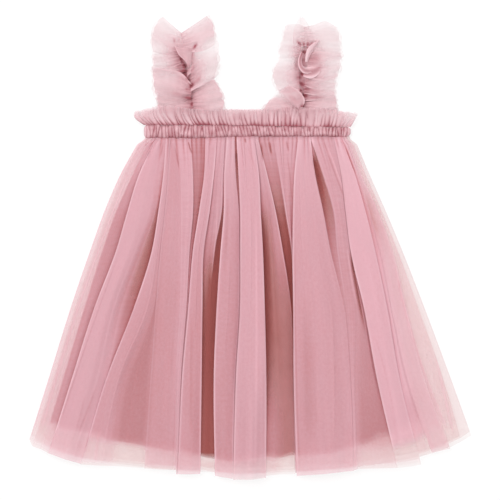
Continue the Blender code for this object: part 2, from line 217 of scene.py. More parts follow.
# A row for each smaller crease, slit or doubled edge in the tulle, from the height
# of its top to that of its bottom. Its two widths are at the hem; a small one makes
# that side crisp. A negative veil is a slit that shows what lies below.
# A mark's added shade is painted shade along it, and painted highlight where it is negative.
MARKS = table_of(
    Mark,
    ("left_slit", 108, 82, -78.0, -75.8, -73.4, 1.8, 0.9, -0.15, 0.40, -0.6, 0.3, 0.4),
    ("left_nick", 114, 99, -64.4, -62.6, -60.0, 2.2, 1.2, -0.35, 1.1, -0.8, 0.2, 0.3),
    ("left_top_fold", 115, 90, -101.5, -104, -109, 4.0, 1.6, -0.1, 0.35, -0.5, 0.2, 0.5),
    ("left_inner_slit", 112, 94, -90.5, -92.0, -95.0, 2.2, 1.0, -0.1, 0.30, -0.5, 0.3, 0.4),
    ("left_double_edge", 0, -194, -135, -170, -202.5, 0.8, 0.8, -0.08, 0.16, -0.2, 0.15, 0.2),
    ("left_hem_line", -140, -196, -160, -169.5, -181, 1.2, 1.8, -0.08, 0.26, -0.3, 0.3, 0.2),
    ("left_hem_line_two", -148, -206, -171, -178, -187, 1.0, 1.6, -0.06, 0.16, -0.2, 0.3, 0.2),
    ("left_hem_fold", -186, -222, -158, -160, -162, 1.0, 2.2, 0.08, 0.10, 0.3, 0.3, 0.1),
    ("left_sheer_line", 95, -195, -121, -176, -219.5, 1.0, 1.4, 0.16, 0.04, 0.2, 0.15, 0.1),
    ("strip_line_edge", -96, -236, -75.8, -78.0, -81.0, 1.2, 0.7, -0.04, 0.10, -0.2, 0.3, 0.1),
    ("pleat_a_line", -60, -200, -61, -61.8, -61.5, 1.2, 2.6, -0.05, 0.14, -0.2, 0.3, 0.2),
    ("pleat_b_streak", 60, -40, -34, -36, -42.3, 0.8, 1.0, 0.10, -0.2, 0.4, 0.3, 0.3),
    ("centre_band", 62, -30, -22.5, -24.0, -27, 3.4, 1.6, -0.05, 0.16, -0.3, 0.25, 0.4),
    ("centre_cover", 122, 97, -15.0, -14.6, -14.2, 2.2, 2.2, 0.30, -0.5, 0.5, 0.05, 0.4),
    ("centre_dot", 115.5, 111.5, -5.0, -4.8, -4.6, 2.0, 2.0, -0.3, 0.9, -0.5),
    ("centre_fold", 112, 74, -4, 2.5, 8.8, 1.2, 2.6, 0.0, 0.16, -0.4, 0.2, 0.3),
    ("centre_light", 60, -236, 6.0, 6.8, 5.5, 1.6, 1.6, 0.08, -0.05, 0.2, 0.2, 0.1),
    ("right_nick", 111, 90, 11.8, 12.6, 14.2, 2.2, 1.4, -0.35, 1.0, -0.8, 0.25, 0.35),
    ("right_nick_two", 113, 99, 20.8, 21.4, 22.8, 2.2, 1.6, -0.35, 1.0, -0.8, 0.25, 0.3),
    ("right_nick_three", 114, 103, 38.2, 39.0, 40.4, 2.0, 1.8, -0.2, 0.55, -0.5),
    ("short_right_line", 100, 48, 38, 41.8, 43.2, 1.0, 2.2, -0.08, 0.26, -0.4, 0.2, 0.3),
    ("wide_right_line", 30, -236, 47.0, 47.6, 52.0, 0.8, 1.0, -0.06, 0.24, -0.3, 0.2, 0.1),
    ("wide_right_shade", -40, -215, 58, 60, 62, 7, 9, -0.10, 0.14, 0, 0.4, 0.3),
    ("low_right_line", 108, 44, 78.2, 89.8, 102, 0.9, 2.4, -0.08, 0.26, -0.7, 0.2, 0.35),
    ("low_right_light", 112, 56, 79.5, 90, 99.5, 2.6, 1.0, 0.14, -0.1, 0.5, 0.2, 0.35),
    ("right_slit", 2, -92, 104.4, 112.6, 122.0, 2.6, 0.8, -0.50, 1.15, -1.5, 0.2, 0.40),
    ("right_slit_light", 4, -64, 101.4, 106.4, 112.8, 1.6, 1.0, 0.14, -0.1, 0.4, 0.2, 0.3),
    ("right_groove_core", 96, 38, 66.0, 75.0, 81.0, 5.0, 2.0, -0.3, 0.55, -1.0, 0.15, 0.7),
    ("right_groove_cover", 121, 88, 63.4, 65.2, 69.0, 2.5, 4.5, 0.55, -1.0, 1.5, 0.05, 0.45),
    ("left_top_nick", 117, 108, -108.0, -108.4, -109.0, 1.6, 1.4, -0.1, 0.5, -0.5),
    ("right_top_nick", 117, 100, 76.6, 78.6, 82.2, 1.8, 1.4, -0.1, 0.5, -0.5, 0.1, 0.5),
    ("right_top_nick_two", 117, 104, 90.4, 91.6, 93.4, 1.6, 1.6, -0.1, 0.45, -0.5, 0.1, 0.5),
    ("right_line_top", 110, 76, 98.6, 104.6, 111.4, 0.8, 2.6, -0.15, 0.50, -0.6, 0.25, 0.3),
    ("right_shade", 64, 4, 119.5, 127.5, 136.5, 2.2, 7.0, -0.10, 0.55, -0.5, 0.35, 0.45),
    ("right_low_patch", -140, -205, 166, 172, 180, 8, 12, -0.10, 0.12, 0, 0.4, 0.3),
    ("right_fold_line", -84, -226, 127.5, 146.5, 153.5, 0.8, 1.4, 0.0, 0.12, -0.4, 0.2, 0.1),
    ("right_sheer_line", -10, -192, 151, 173.5, 208, 2.4, 0.9, 0.14, 0.10, 0.3, 0.15, 0.1),
    ("right_edge_line", -110, -194, 194, 203.5, 213, 1.2, 0.9, 0.12, 0.05, 0.2, 0.2, 0.1),
)


# ------------------------------------------------------------ settings

class DressCloth(PropertyGroup):
    """Sizes of the cloth's relief that a user may change."""
    fold_lift: FloatProperty(name="Fold lift", description="Height of the skirt's folds",
                             default=0.7, min=0.2, max=1.3, subtype="FACTOR")
    gather_rise: FloatProperty(name="Gather rise", description="Rise of the gathers below the band",
                               default=0.0019, min=0.0, max=0.004, unit="LENGTH")
    ridge_rise: FloatProperty(name="Ridge rise",
                              description="Rise of the fine creases in the tulle",
                              default=0.0011, min=0.0, max=0.003, unit="LENGTH")
    net_size: FloatProperty(name="Net size", description="Width of one mesh of the tulle",
                            default=0.0011, min=0.0005, max=0.003, unit="LENGTH")


class DressColours(PropertyGroup):
    """Colours that a user may change."""
    tulle: FloatVectorProperty(name="Tulle", description="Tulle on a lit fold",
                               default=(0.77, 0.435, 0.495), subtype="COLOR", min=0, max=1)
    tulle_lit: FloatVectorProperty(name="Tulle on edges",
                                   description="Tulle where a fold's edge is lit",
                                   default=(0.84, 0.56, 0.62), subtype="COLOR", min=0, max=1)
    tulle_sheer: FloatVectorProperty(name="Tulle in one layer",
                                     description="Tulle where it is sheerest",
                                     default=(0.72, 0.49, 0.44), subtype="COLOR", min=0, max=1)
    # Painted shade: the tulle's colour where shade falls between folds
    tulle_shade: FloatVectorProperty(name="Tulle in hollows", description="Tulle between folds",
                                    default=(0.58, 0.19, 0.20), subtype="COLOR", min=0, max=1)
    lining: FloatVectorProperty(name="Lining", description="The opaque lining",
                                default=(0.57, 0.20, 0.205), subtype="COLOR", min=0, max=1)
    # Painted shade: the lining's colour where shade falls between folds
    lining_shade: FloatVectorProperty(name="Lining in hollows",
                                     description="The lining between folds",
                                     default=(0.32, 0.08, 0.07), subtype="COLOR", min=0, max=1)
    # Painted shade: the colour deep in narrow slits and crevices
    crevice_shade: FloatVectorProperty(name="Crevices", description="Tulle deep in its narrow slits",
                                 default=(0.21, 0.065, 0.062), subtype="COLOR", min=0, max=1)
    gathered: FloatVectorProperty(name="Gathered tulle",
                                  description="Tulle of the frill and the straps",
                                  default=(0.75, 0.465, 0.505), subtype="COLOR", min=0, max=1)
    gathered_lit: FloatVectorProperty(name="Gathered tulle on edges",
                                      description="The same where an edge is lit",
                                      default=(0.87, 0.65, 0.69), subtype="COLOR", min=0, max=1)
    gathered_sheer: FloatVectorProperty(name="Gathered tulle in one layer",
                                        description="The same where it is sheerest",
                                        default=(0.72, 0.50, 0.53), subtype="COLOR", min=0, max=1)
    # Painted shade: the gathered tulle's colour between its gathers
    gathered_shade: FloatVectorProperty(name="Gathered tulle in hollows",
                                       description="The same between its gathers",
                                       default=(0.36, 0.10, 0.125), subtype="COLOR", min=0, max=1)
    floor: FloatVectorProperty(name="Floor", description="The pale surface below",
                               default=(0.92, 0.92, 0.92), subtype="COLOR", min=0, max=1)


# ------------------------------------------------------------ shader maths

class Value:
    """A shader socket that takes part in arithmetic and gives a new one."""

    def __init__(self, shade, socket):
        self.shade = shade
        self.socket = socket

    def maths(self, operation, *operands):
        return self.shade.node("ShaderNodeMath", {"operation": operation},
                               dict(enumerate(operands)))

    def __add__(self, other):
        return self.maths("ADD", self, other)

    def __sub__(self, other):
        return self.maths("SUBTRACT", self, other)

    def __rsub__(self, other):
        return self.maths("SUBTRACT", other, self)

    def __mul__(self, other):
        return self.maths("MULTIPLY", self, other)

    __radd__ = __add__
    __rmul__ = __mul__

    def between(self, low, high):
        return self.maths("MINIMUM", self.maths("MAXIMUM", self, low), high)


class Shade:
    """One material under construction."""

    def __init__(self, name):
        self.material = bpy.data.materials.new(name)
        self.material.use_nodes = True
        self.tree = self.material.node_tree
        self.surface = self.tree.nodes["Principled BSDF"]

    def node(self, kind, settings=None, sockets=None, output=0):
        """Any node: its settings are set first, then its sockets' values or links."""
        made = self.tree.nodes.new(kind)
        for name, value in (settings or {}).items():
            setattr(made, name, value)
        for name, value in (sockets or {}).items():
            self.feed(made.inputs[name], value)
        return Value(self, made.outputs[output])

    def feed(self, socket, value):
        if isinstance(value, Value):
            self.tree.links.new(value.socket, socket)
        else:
            socket.default_value = value

    def finish(self, sockets):
        """Feed the surface's own sockets."""
        for name, value in sockets.items():
            self.feed(self.surface.inputs[name], value)
        return self.material

    def mask(self, name):
        return self.node("ShaderNodeAttribute", {"attribute_name": name}, output="Fac")

    def cloth_place(self, scale):
        """The cloth's own coordinates in metres, times a scale for each direction."""
        place = self.node("ShaderNodeUVMap", {"uv_map": "cloth"})
        return self.node("ShaderNodeMapping", sockets={"Vector": place, "Scale": scale})

    def noise(self, place, detail, rough=0.5):
        return self.node("ShaderNodeTexNoise", sockets={
            "Vector": place, "Scale": 1.0, "Detail": detail, "Roughness": rough})

    def colour_mix(self, mask, low, high):
        return self.node("ShaderNodeMix", {"data_type": "RGBA"},
                         {0: mask, 6: low, 7: high}, output=2)

    def relief(self, height, size, strength):
        return self.node("ShaderNodeBump", sockets={
            "Height": height, "Distance": size, "Strength": strength})


def opaque(colour):
    return (*colour, 1.0)


def tulle_material(name, palette, crevice_shade, net_size):
    """Sheer net: its veil mask says how much of what lies below it hides, and its
    shading_and_tone mask carries painted light and shade: a painted highlight on lit edges
    at -1, folds at 0, painted shade in hollows at 1 and in crevices at 2."""
    light, lit, shade_and_tone, sheer = palette
    shade = Shade(name)
    shading_and_tone = shade.mask("shading_and_tone")
    streaks = shade.noise(shade.cloth_place((260.0, 10.0, 1.0)), 3.0)
    cloud = shade.noise(shade.cloth_place((60.0, 30.0, 1.0)), 4.0)
    net = shade.node("ShaderNodeTexVoronoi", {"feature": "DISTANCE_TO_EDGE"}, {
        "Vector": shade.cloth_place((1.0, 1.0, 1.0)), "Scale": 1 / net_size, "Randomness": 0.3})
    thread = 1 - (net * 4.0).between(0.0, 1.0)
    mottle = shade.noise(shade.cloth_place((330.0, 300.0, 1.0)), 3.0, 0.65)
    # Painted light and shade, with tone that varies at random
    tone = shading_and_tone + (cloud - 0.5) * 0.34 + (mottle - 0.5) * 0.50
    colour = shade.colour_mix(tone.between(0.0, 1.0), opaque(light), opaque(shade_and_tone))
    colour = shade.colour_mix((tone * -1.0).between(0.0, 1.0), colour, opaque(lit))
    colour = shade.colour_mix((shading_and_tone - 1).between(0.0, 1.0), colour, opaque(crevice_shade))
    veil = shade.mask("veil")
    sheerness = ((1.15 - veil * 2.3).between(0.0, 0.7)) * (1.3 - shading_and_tone).between(0.0, 1.0)
    colour = shade.colour_mix(sheerness, colour, opaque(sheer))
    alpha = veil * (1 + (streaks - 0.5) * 0.10 + (cloud - 0.5) * 0.16 + (thread - 0.5) * 0.08)
    return shade.finish({
        "Base Color": colour, "Roughness": 0.88, "Specular IOR Level": 0.12,
        "Sheen Weight": 0.25, "Sheen Roughness": 0.5, "Alpha": alpha.between(0.04, 0.97),
        "Normal": shade.relief(streaks * 0.35 + cloud * 0.65, 0.0006, 0.30)})


def tulle_palette(colours):
    return colours.tulle, colours.tulle_lit, colours.tulle_shade, colours.tulle_sheer


def gathered_palette(colours):
    return colours.gathered, colours.gathered_lit, colours.gathered_shade, colours.gathered_sheer


def gathered_tulle(name, scene):
    """The tulle of the band, the frill and the straps."""
    return tulle_material(name, gathered_palette(scene.dress_colours),
                          scene.dress_colours.crevice_shade, scene.dress_cloth.net_size)


def lining_material(name, colours):
    """Opaque woven cloth, faintly crumpled, with painted shade between its folds."""
    shade = Shade(name)
    shading_and_tone = shade.mask("shading_and_tone")
    crumple = shade.noise(shade.cloth_place((95.0, 70.0, 1.0)), 4.0, 0.6)
    weave = shade.noise(shade.cloth_place((900.0, 900.0, 1.0)), 1.0)
    colour = shade.colour_mix((shading_and_tone + (crumple - 0.5) * 0.6).between(0.0, 1.0),
                              opaque(colours.lining), opaque(colours.lining_shade))
    return shade.finish({
        "Base Color": colour, "Roughness": 0.75, "Specular IOR Level": 0.2,
        "Alpha": shade.mask("veil"),
        "Normal": shade.relief(crumple + weave * 0.1, 0.0018, 0.6)})


# ------------------------------------------------------------ cloth meshes

def smooth_step(share):
    share = np.clip(share, 0.0, 1.0)
    return share * share * (3 - 2 * share)


def drift(across, down, cells_across, cells_down, seed):
    """Smooth noise from -1 to 1 over the unit square, the same each run."""
    lattice = np.random.default_rng(seed).uniform(-1, 1, (cells_down + 2, cells_across + 2))
    x = np.clip(across, 0, 1) * cells_across
    y = np.clip(down, 0, 1) * cells_down
    column, row = x.astype(int), y.astype(int)
    u, v = smooth_step(x - column), smooth_step(y - row)
    low = lattice[row, column] * (1 - u) + lattice[row, column + 1] * u
    high = lattice[row + 1, column] * (1 - u) + lattice[row + 1, column + 1] * u
    return low * (1 - v) + high * v


def cloth_piece(name, patches, material):
    """Cloth of one or more grids of points in mm, each shaped (rows, columns, 3)."""
    cloth = bmesh.new()
    for points, _, _ in patches:
        rows, columns = points.shape[:2]
        old_verts, old_faces = len(cloth.verts), len(cloth.faces)
        bmesh.ops.create_grid(cloth, x_segments=columns - 1, y_segments=rows - 1, size=1)
        for vert, place in zip(list(cloth.verts)[old_verts:],
                               (points.reshape(-1, 3) * MM).tolist()):
            vert.co = place
        along, up = points[:, -1] - points[:, 0], points[-1] - points[0]
        if along[:, 0].mean() * up[:, 1].mean() < along[:, 1].mean() * up[:, 0].mean():
            bmesh.ops.reverse_faces(cloth, faces=list(cloth.faces)[old_faces:])
    mesh = bpy.data.meshes.new(name)
    cloth.to_mesh(mesh)
    cloth.free()
    for mask in patches[0][2]:
        layer = mesh.attributes.new(mask, "FLOAT", "POINT")
        values = np.concatenate([masks[mask].reshape(-1) for _, _, masks in patches])
        layer.data.foreach_set("value", values.astype(np.float32))
    corner_verts = np.empty(len(mesh.loops), np.int32)
    mesh.loops.foreach_get("vertex_index", corner_verts)
    flat = np.concatenate([cut.reshape(-1, 2) for _, cut, _ in patches]).astype(np.float32)
    mesh.uv_layers.new(name="cloth").data.foreach_set("uv", flat[corner_verts].reshape(-1))
    mesh.materials.append(material)
    mesh.shade_smooth()
    piece = bpy.data.objects.new(name, mesh)
    bpy.context.scene.collection.objects.link(piece)
    return piece


def dress_piece(piece, slot, *nodes):
    """Every piece rides on the one body and stands for its solids."""
    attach(piece, "root")
    if nodes:
        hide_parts(*nodes)


# ------------------------------------------------------------ skirt

def rise(share, crisp):
    """A fold's side: soft like a wave, or crisp like a rolled pleat."""
    share = np.clip(share, 0.0, 1.0)
    return (1 - crisp) * smooth_step(share) + crisp * np.sqrt(np.maximum(0, 1 - (1 - share) ** 2))


def run_through(stations, values, heights):
    """A smooth run through values that hold at stations down the skirt."""
    places, values = -np.array(stations, float), np.array(values, float)
    slopes = np.gradient(values, places)
    down = np.clip(-heights, places[0], places[-1])
    span = np.clip(np.searchsorted(places, down, side="right") - 1, 0, len(places) - 2)
    gap = places[span + 1] - places[span]
    t = (down - places[span]) / gap
    return (values[span] * (1 + 2 * t) * (1 - t) ** 2 + slopes[span] * gap * t * (1 - t) ** 2
            + values[span + 1] * t ** 2 * (3 - 2 * t) + slopes[span + 1] * gap * t ** 2 * (t - 1))


def strip_lines():
    return [strip.line for strip in STRIPS] + [RIGHT_OUTLINE]


def skirt_columns(layer):
    """The strip that each line of points down a panel is on, and its share across it.
    Two lines lie close together at each crease, so that its step is steep."""
    lines = strip_lines()
    names = [strip.name for strip in STRIPS]
    numbers, shares = [], []
    for number in range(names.index(layer.first), names.index(layer.last) + 1):
        width = max(right - left for left, right in zip(lines[number], lines[number + 1]))
        steps = max(3, round(width / layer.pitch))
        close = CREASE_PAIR / width
        across = [0, close, *(step / steps for step in range(1, steps)), 1 - close]
        numbers += [number] * len(across)
        shares += across
    return np.array(numbers + numbers[-1:]), np.array(shares + [1.0])


def skirt_places(layer, number, share, down):
    """Where each point of a panel lies, its hem's place, and the width of its strip."""
    lines = strip_lines()
    hem = np.array([strip.hem for strip in STRIPS])[number]
    front_hem = hem[:, 0] + (hem[:, 1] - hem[:, 0]) * share
    ends = np.array([[run_through(LINE_STATIONS, line, height) for line in lines]
                     for height in (SKIRT_TOP, HEM_LOW)])
    hem_x = np.empty(len(number))
    for column, (strip, part) in enumerate(zip(number, share)):
        left, right = (run_through(LINE_STATIONS, lines[strip + side], front_hem[column])
                       for side in (0, 1))
        hem_x[column] = left + (right - left) * part
    around = np.clip(hem_x / HEM_HALF, -1, 1)
    even_hem = HEM_LOW + HEM_RISE * around ** 2 + HEM_CORNER_RISE * around ** 8
    own = layer.share if layer.slot == "tulle" else 0
    hem_y = even_hem + (front_hem - even_hem) * own
    if layer.slot == "lining":
        hem_y = (np.interp(hem_x, *zip(*LINING_HEM))
                 + LINING_WANDER * drift(around / 2 + 0.5, 0 * around, 30, 1, 41))
    top = SKIRT_TOP + TOP_TUCK
    y = top + (hem_y - top)[None] * down
    x, width = np.empty_like(y), np.empty_like(y)
    for strip in np.unique(number):
        here = number == strip
        left, right = (run_through(LINE_STATIONS, lines[strip + side], y[:, here])
                       for side in (0, 1))
        x[:, here] = left + (right - left) * share[here]
        width[:, here] = np.maximum(right - left, 0.05)
    x = x - (CORNER_PULL * np.sign(x) * smooth_step((np.abs(x) - CORNER_START) / CORNER_SPAN)
             * smooth_step((y - CORNER_HEIGHT) / CORNER_FADE))
    band = ends[0][number] + (ends[0][number + 1] - ends[0][number]) * share
    return x, y, hem_x, band, width


def by_height(pairs, y):
    """Values at each height, from pairs that hold at the height stations."""
    return np.array([np.interp(-y, [-place for place in HEIGHT_STATIONS], pair) for pair in pairs])


def strip_edges(y):
    return by_height([strip.edge for strip in STRIPS] + [(0, 0)], y)


def fold_relief(number, share, width, y):
    """How high the folds and hollows stand, in mm."""
    tall = by_height([strip.height for strip in STRIPS], y)
    edges = strip_edges(y) * (1 - HEM_SOFTNESS * smooth_step((HEM_FADE_TOP - y) / HEM_FADE_SPAN))
    height = np.empty_like(y)
    for strip in np.unique(number):
        here = number == strip
        w, v = share[here], width[:, here]
        own = tall[strip][:, here]
        left, right = (tall[side][:, here] if 0 <= side < len(STRIPS) else 0 * own
                       for side in (strip - 1, strip + 1))
        first, last = edges[strip][:, here], edges[strip + 1][:, here]
        crisp = np.maximum(first, 0), np.maximum(-last, 0)
        dips = 0.92 - 0.4 * np.abs(first), 0.92 - 0.4 * np.abs(last)
        base = dips[0] * np.minimum(own, left) * (1 - w) + dips[1] * np.minimum(own, right) * w
        up = 1
        for hard, away in ((crisp[0], w), (crisp[1], 1 - w)):
            top = EDGE_STEP + (1 - EDGE_STEP) * rise(away * v / CRISP_RISE, 1)
            up = up * ((1 - hard) * rise(away / 0.5, 0) + hard * top)
        height[:, here] = base + (own - base) * up
    return height


def uneven_pleats(across, along, count, seed, sway=0.3):
    """Each point's place in its pleat, from 0 to 1, and the pleat's own strength and reach."""
    random = np.random.default_rng(seed)
    starts = np.linspace(0, 1, count + 1)
    starts[1:-1] += random.uniform(-0.3, 0.3, count - 1) / count
    leans = random.uniform(-1, 1, count + 1) * sway / count
    leans[[0, -1]] = 0
    skews = random.uniform(0.7, 1.45, count)
    strengths, reaches = random.uniform(0.45, 1, count), random.uniform(0, 1, count)
    share, pleat = np.empty_like(across), np.empty(across.shape, int)
    for row, height in enumerate(along):
        bounds = starts + leans * height
        pleat[row] = np.clip(np.searchsorted(bounds, across[row], side="right") - 1, 0, count - 1)
        share[row] = (across[row] - bounds[pleat[row]]) / np.diff(bounds)[pleat[row]]
    return np.clip(share, 0, 1) ** skews[pleat], strengths[pleat], reaches[pleat]


def crest(share, fullness):
    """A pleat's profile: the less the fullness number, the narrower its troughs."""
    return np.maximum(0, np.sin(math.pi * share)) ** fullness


def ridges(across, down, count, seed):
    """Fine creases, each sharp on one side, of uneven length, width and height."""
    random = np.random.default_rng(seed)
    total = np.zeros_like(down)
    for number in range(count):
        place = (number + random.uniform(0.1, 0.9)) / count
        lean = random.uniform(-0.03, 0.03)
        sharp, soft = random.uniform(0.0012, 0.003), random.uniform(0.006, 0.018)
        if random.random() < 0.5:
            sharp, soft = soft, sharp
        start, length = random.uniform(-0.1, 0.7), random.uniform(0.3, 1.1)
        strength = random.uniform(0.35, 1.0)
        away = across - place - lean * (down - 0.5)
        shape = np.exp(-np.abs(away) / np.where(away < 0, sharp, soft))
        span = (down - start) / length
        total += strength * shape * smooth_step(span / 0.3) * smooth_step((1 - span) / 0.3)
    return total


def mark_strength(mark, x, y, down):
    """How strongly a mark tells at each point: full on its line, less away from it."""
    t = (mark.top - y) / (mark.top - mark.bottom)
    line = (mark.x_top * (2 * t - 1) * (t - 1) + mark.x_middle * 4 * t * (1 - t)
            + mark.x_bottom * t * (2 * t - 1))
    away = x - line
    width = np.where(away < 0, mark.left, mark.right) * (0.45 + 0.55 * down)
    fade = smooth_step(t / mark.fade_in) * smooth_step((1 - t) / mark.fade_out)
    return np.exp(-(away / width) ** 2) * fade


def skirt_panel(layer, cloth):
    """Points, cut and masks of one panel of the skirt."""
    number, share = skirt_columns(layer)
    along = np.linspace(0, 1, layer.rows) ** 1.15
    down = (along[:, None] * layer.hem) * np.ones(len(number))[None]
    x, y, hem, band, width = skirt_places(layer, number, share, down)
    across = (hem + HEM_HALF) / (2 * HEM_HALF) * np.ones_like(down)
    inset = 1 - np.abs(hem) / HEM_HALF
    level = np.interp(inset, (0.0, 0.05, 0.16), layer.levels)
    crown = 1 + 0.08 * drift(across, down, 40, 3, 50)
    swell = GATHERED + (1 - GATHERED) * smooth_step(down / FULL_HEIGHT)
    height = fold_relief(number, share, width, y) * crown * swell
    band_share = (band - BAND_LEFT + 6) / (BAND_RIGHT - BAND_LEFT + 7) * np.ones_like(down)
    place, strength, reach = uneven_pleats(np.clip(band_share, 0, 1), down[:, 0],
                                           PANEL_GATHERS, GATHER_SEED, 1.0)
    reach = 0.05 + 0.33 * reach ** 2
    ripple = strength * crest(place, 0.7) * (1 - smooth_step(down / reach))
    trough = (1 - crest(place, 0.5)) * (1 - smooth_step(down / reach))
    crease = ridges(across, down, layer.ridges, 23 + layer.rows)
    edge = np.clip(inset / 0.05, 0.15, 1)
    marks = [mark_strength(mark, x, y, down) for mark in MARKS]
    lift = sum(mark.lift * tells for mark, tells in zip(MARKS, marks))
    z = (level + layer.share * (height + lift * edge) * cloth.fold_lift
         + layer.gathers * edge * ripple * cloth.gather_rise / MM
         + layer.share * edge * np.minimum(crease, 1.6) * cloth.ridge_rise / MM)
    z = np.maximum(z, level - 0.6)
    if layer.share:
        tuck = 3.0 + 1.6 * layer.share
        clear = smooth_step((band_seams(x)[0] + SEAM_TUCK - y) / TUCK_SPAN)
        z = z - np.maximum(z - tuck, 0) * (1 - clear)
    right = smooth_step((x - 90) / 60)
    below_lining = smooth_step((np.interp(x, *zip(*LINING_HEM)) + 3 * (1 - right) - y)
                               / (8 + 8 * right))
    veil, shade_and_tone = veil_masks(number, share, width, y, down, below_lining, ripple, trough, crease)
    veil = veil * layer.veil
    if layer.slot == "lining":
        thinned = (down - 0.984 + 0.03 * right) / (0.016 + 0.03 * right)
        veil = 1 - 0.6 * smooth_step(thinned + 0.25 * drift(across, down, 60, 4, 77))
    # Each mark adds its veil, and its painted shade or, where negative, painted highlight
    for mark, tells in zip(MARKS, marks):
        veil = veil + mark.veil * tells * layer.marks * (veil if mark.veil < 0 else 1)
        shade_and_tone = shade_and_tone + mark.deepen * tells * (1 - 0.4 * (layer.marks < 1))
    points = np.stack([x, y, z], axis=-1)
    cut = np.stack([hem * np.ones_like(down) * MM, y * MM], axis=-1)
    fullest = 1.0 if layer.slot == "lining" else 0.96
    return points, cut, {"veil": np.clip(veil, 0.03, fullest), "shading_and_tone": np.clip(shade_and_tone, -1, 2)}


def veil_masks(number, share, width, y, down, below_lining, ripple, trough, crease):
    """How much the tulle hides, and its painted shade and highlight, all over the skirt."""
    tall, edges = by_height([strip.height for strip in STRIPS], y), strip_edges(y)
    shades = np.array([run_through(SHADE_STATIONS, strip.shade, y) for strip in STRIPS])
    thin = smooth_step((shades - 0.35) / 0.65)
    veils = np.array([strip.veil for strip in STRIPS])[:, None, None] * (1 - thin) + THINNEST * thin
    glint = 0.65 + 0.35 * drift(share / 2 + number % 2 / 2, down, 30, 9, 61)
    veil, shade_and_tone = np.empty_like(y), np.empty_like(y)
    for strip in np.unique(number):
        here = number == strip
        w, v = share[here], width[:, here]
        own_veil = veils[strip][:, here] * np.ones_like(v)
        own_shade = shades[strip][:, here] * (1 + STRIPS[strip].lean * (w - 0.5))
        for other, edge, away in ((strip - 1, edges[strip][:, here], w * v),
                                  (strip + 1, -edges[strip + 1][:, here], (1 - w) * v)):
            if not 0 <= other < len(STRIPS):
                own_veil = own_veil + (OUTLINE_VEIL * np.exp(-(away / 1.1) ** 2)
                                       * (1 if other < 0 else 0.3))
                continue
            soft = np.maximum(0, 1 - 1.25 * np.abs(edge)) * np.minimum(SOFT_EDGE, 0.45 * v)
            blend = 0.5 * (1 - smooth_step(away / (soft + 0.01))) * smooth_step(soft / 0.8)
            own_veil = own_veil + (veils[other][:, here] - own_veil) * blend
            own_shade = own_shade + (shades[other][:, here] - own_shade) * blend
            # Along a crisp edge: a painted highlight on the strip on top, a painted shadow on the
            # one below
            lit = (np.maximum(edge, 0) * np.exp(-(np.maximum(0, away - 0.7) / 0.8) ** 2)
                   * glint[:, here] * (1 - thin[strip][:, here])
                   * np.clip(tall[strip][:, here] / 6, 0.3, 1))
            shadow = np.maximum(-edge, 0) * np.exp(-(away / 2.2) ** 2) * smooth_step(v / 2)
            own_veil = own_veil + 0.45 * lit * (1 - own_veil)
            own_shade = own_shade * (1 - lit) - 1.0 * lit + 0.25 * shadow
        veil[:, here], shade_and_tone[:, here] = own_veil, own_shade
    near_band = 1 - smooth_step(down / 0.22)
    veil = veil + near_band * (0.15 + 0.25 * ripple) * (1 - veil) * smooth_step(1.4 - shade_and_tone)
    # Painted shade in the troughs of the gathers below the band, painted highlight on their crests
    shade_and_tone = shade_and_tone + (0.75 * trough - 0.40 * ripple) * (1 - smooth_step(down / 0.14))
    veil = veil + 0.06 * np.minimum(crease, 1.2) * veil
    veil = np.maximum(veil, 0.40 * below_lining)
    sheerer = np.interp(number, *zip(*SHEER_HEM))
    fade = sheerer * below_lining + 0.25 * smooth_step((down - 0.985) / 0.015)
    # Below the lining's hem most of the painted shade gives way
    return veil * (1 - fade), shade_and_tone * (1 - 0.85 * below_lining)


class DRESS_OT_skirt(Operator):
    """Lay the skirt's tulle and lining, back first"""
    bl_idname = "dress.skirt"
    bl_label = "Skirt"

    def execute(self, context):
        cloth, colours = context.scene.dress_cloth, context.scene.dress_colours
        tulle = tulle_material("tulle", tulle_palette(colours), colours.crevice_shade, cloth.net_size)
        lining = lining_material("lining", colours)
        for layer in LAYERS:
            material = tulle if layer.slot == "tulle" else lining
            piece = cloth_piece(layer.piece, [skirt_panel(layer, cloth)], material)
            dress_piece(piece, layer.slot, layer.node)
        return {"FINISHED"}


# ------------------------------------------------------------ band and frill

BAND_PLEATS = 66
BAND_RISE = 2.2
BAND_EDGE_RISE = 1.8        # how high the band stands along its stitch lines
BAND_END_ROUND = 2.4        # how far the corners of its two ends are drawn in
SEAM_RISE = 1.8             # how far the band is drawn up at its left end
SEAM_TUCK = 1.5             # how far above its seam the skirt turns down under the band
TUCK_SPAN = 7.0             # and over what
FRILL_EDGE = 146.8
FRILL_FLOOR = 5.4
FRILL_PLEATS = 54
FRILL_LEFT_FLARE = 9.8
FRILL_RIGHT_FLARE = 7.4
FLARE_TURN = 1.9            # how far the flare's curve turns, in radians


def strip_grid(rows, columns):
    """Shares up and along a strip of cloth."""
    up, across = np.meshgrid(np.linspace(0, 1, rows), np.linspace(0, 1, columns), indexing="ij")
    return up, across


def band_seams(x):
    """Heights of the band's two seams: the lower is drawn up, the upper sags at its right."""
    return (BAND_BOTTOM + SEAM_RISE + 1.5 * smooth_step((x + 50) / 40),
            BAND_TOP - 0.9 - 2.0 * smooth_step((x + 60) / 150))


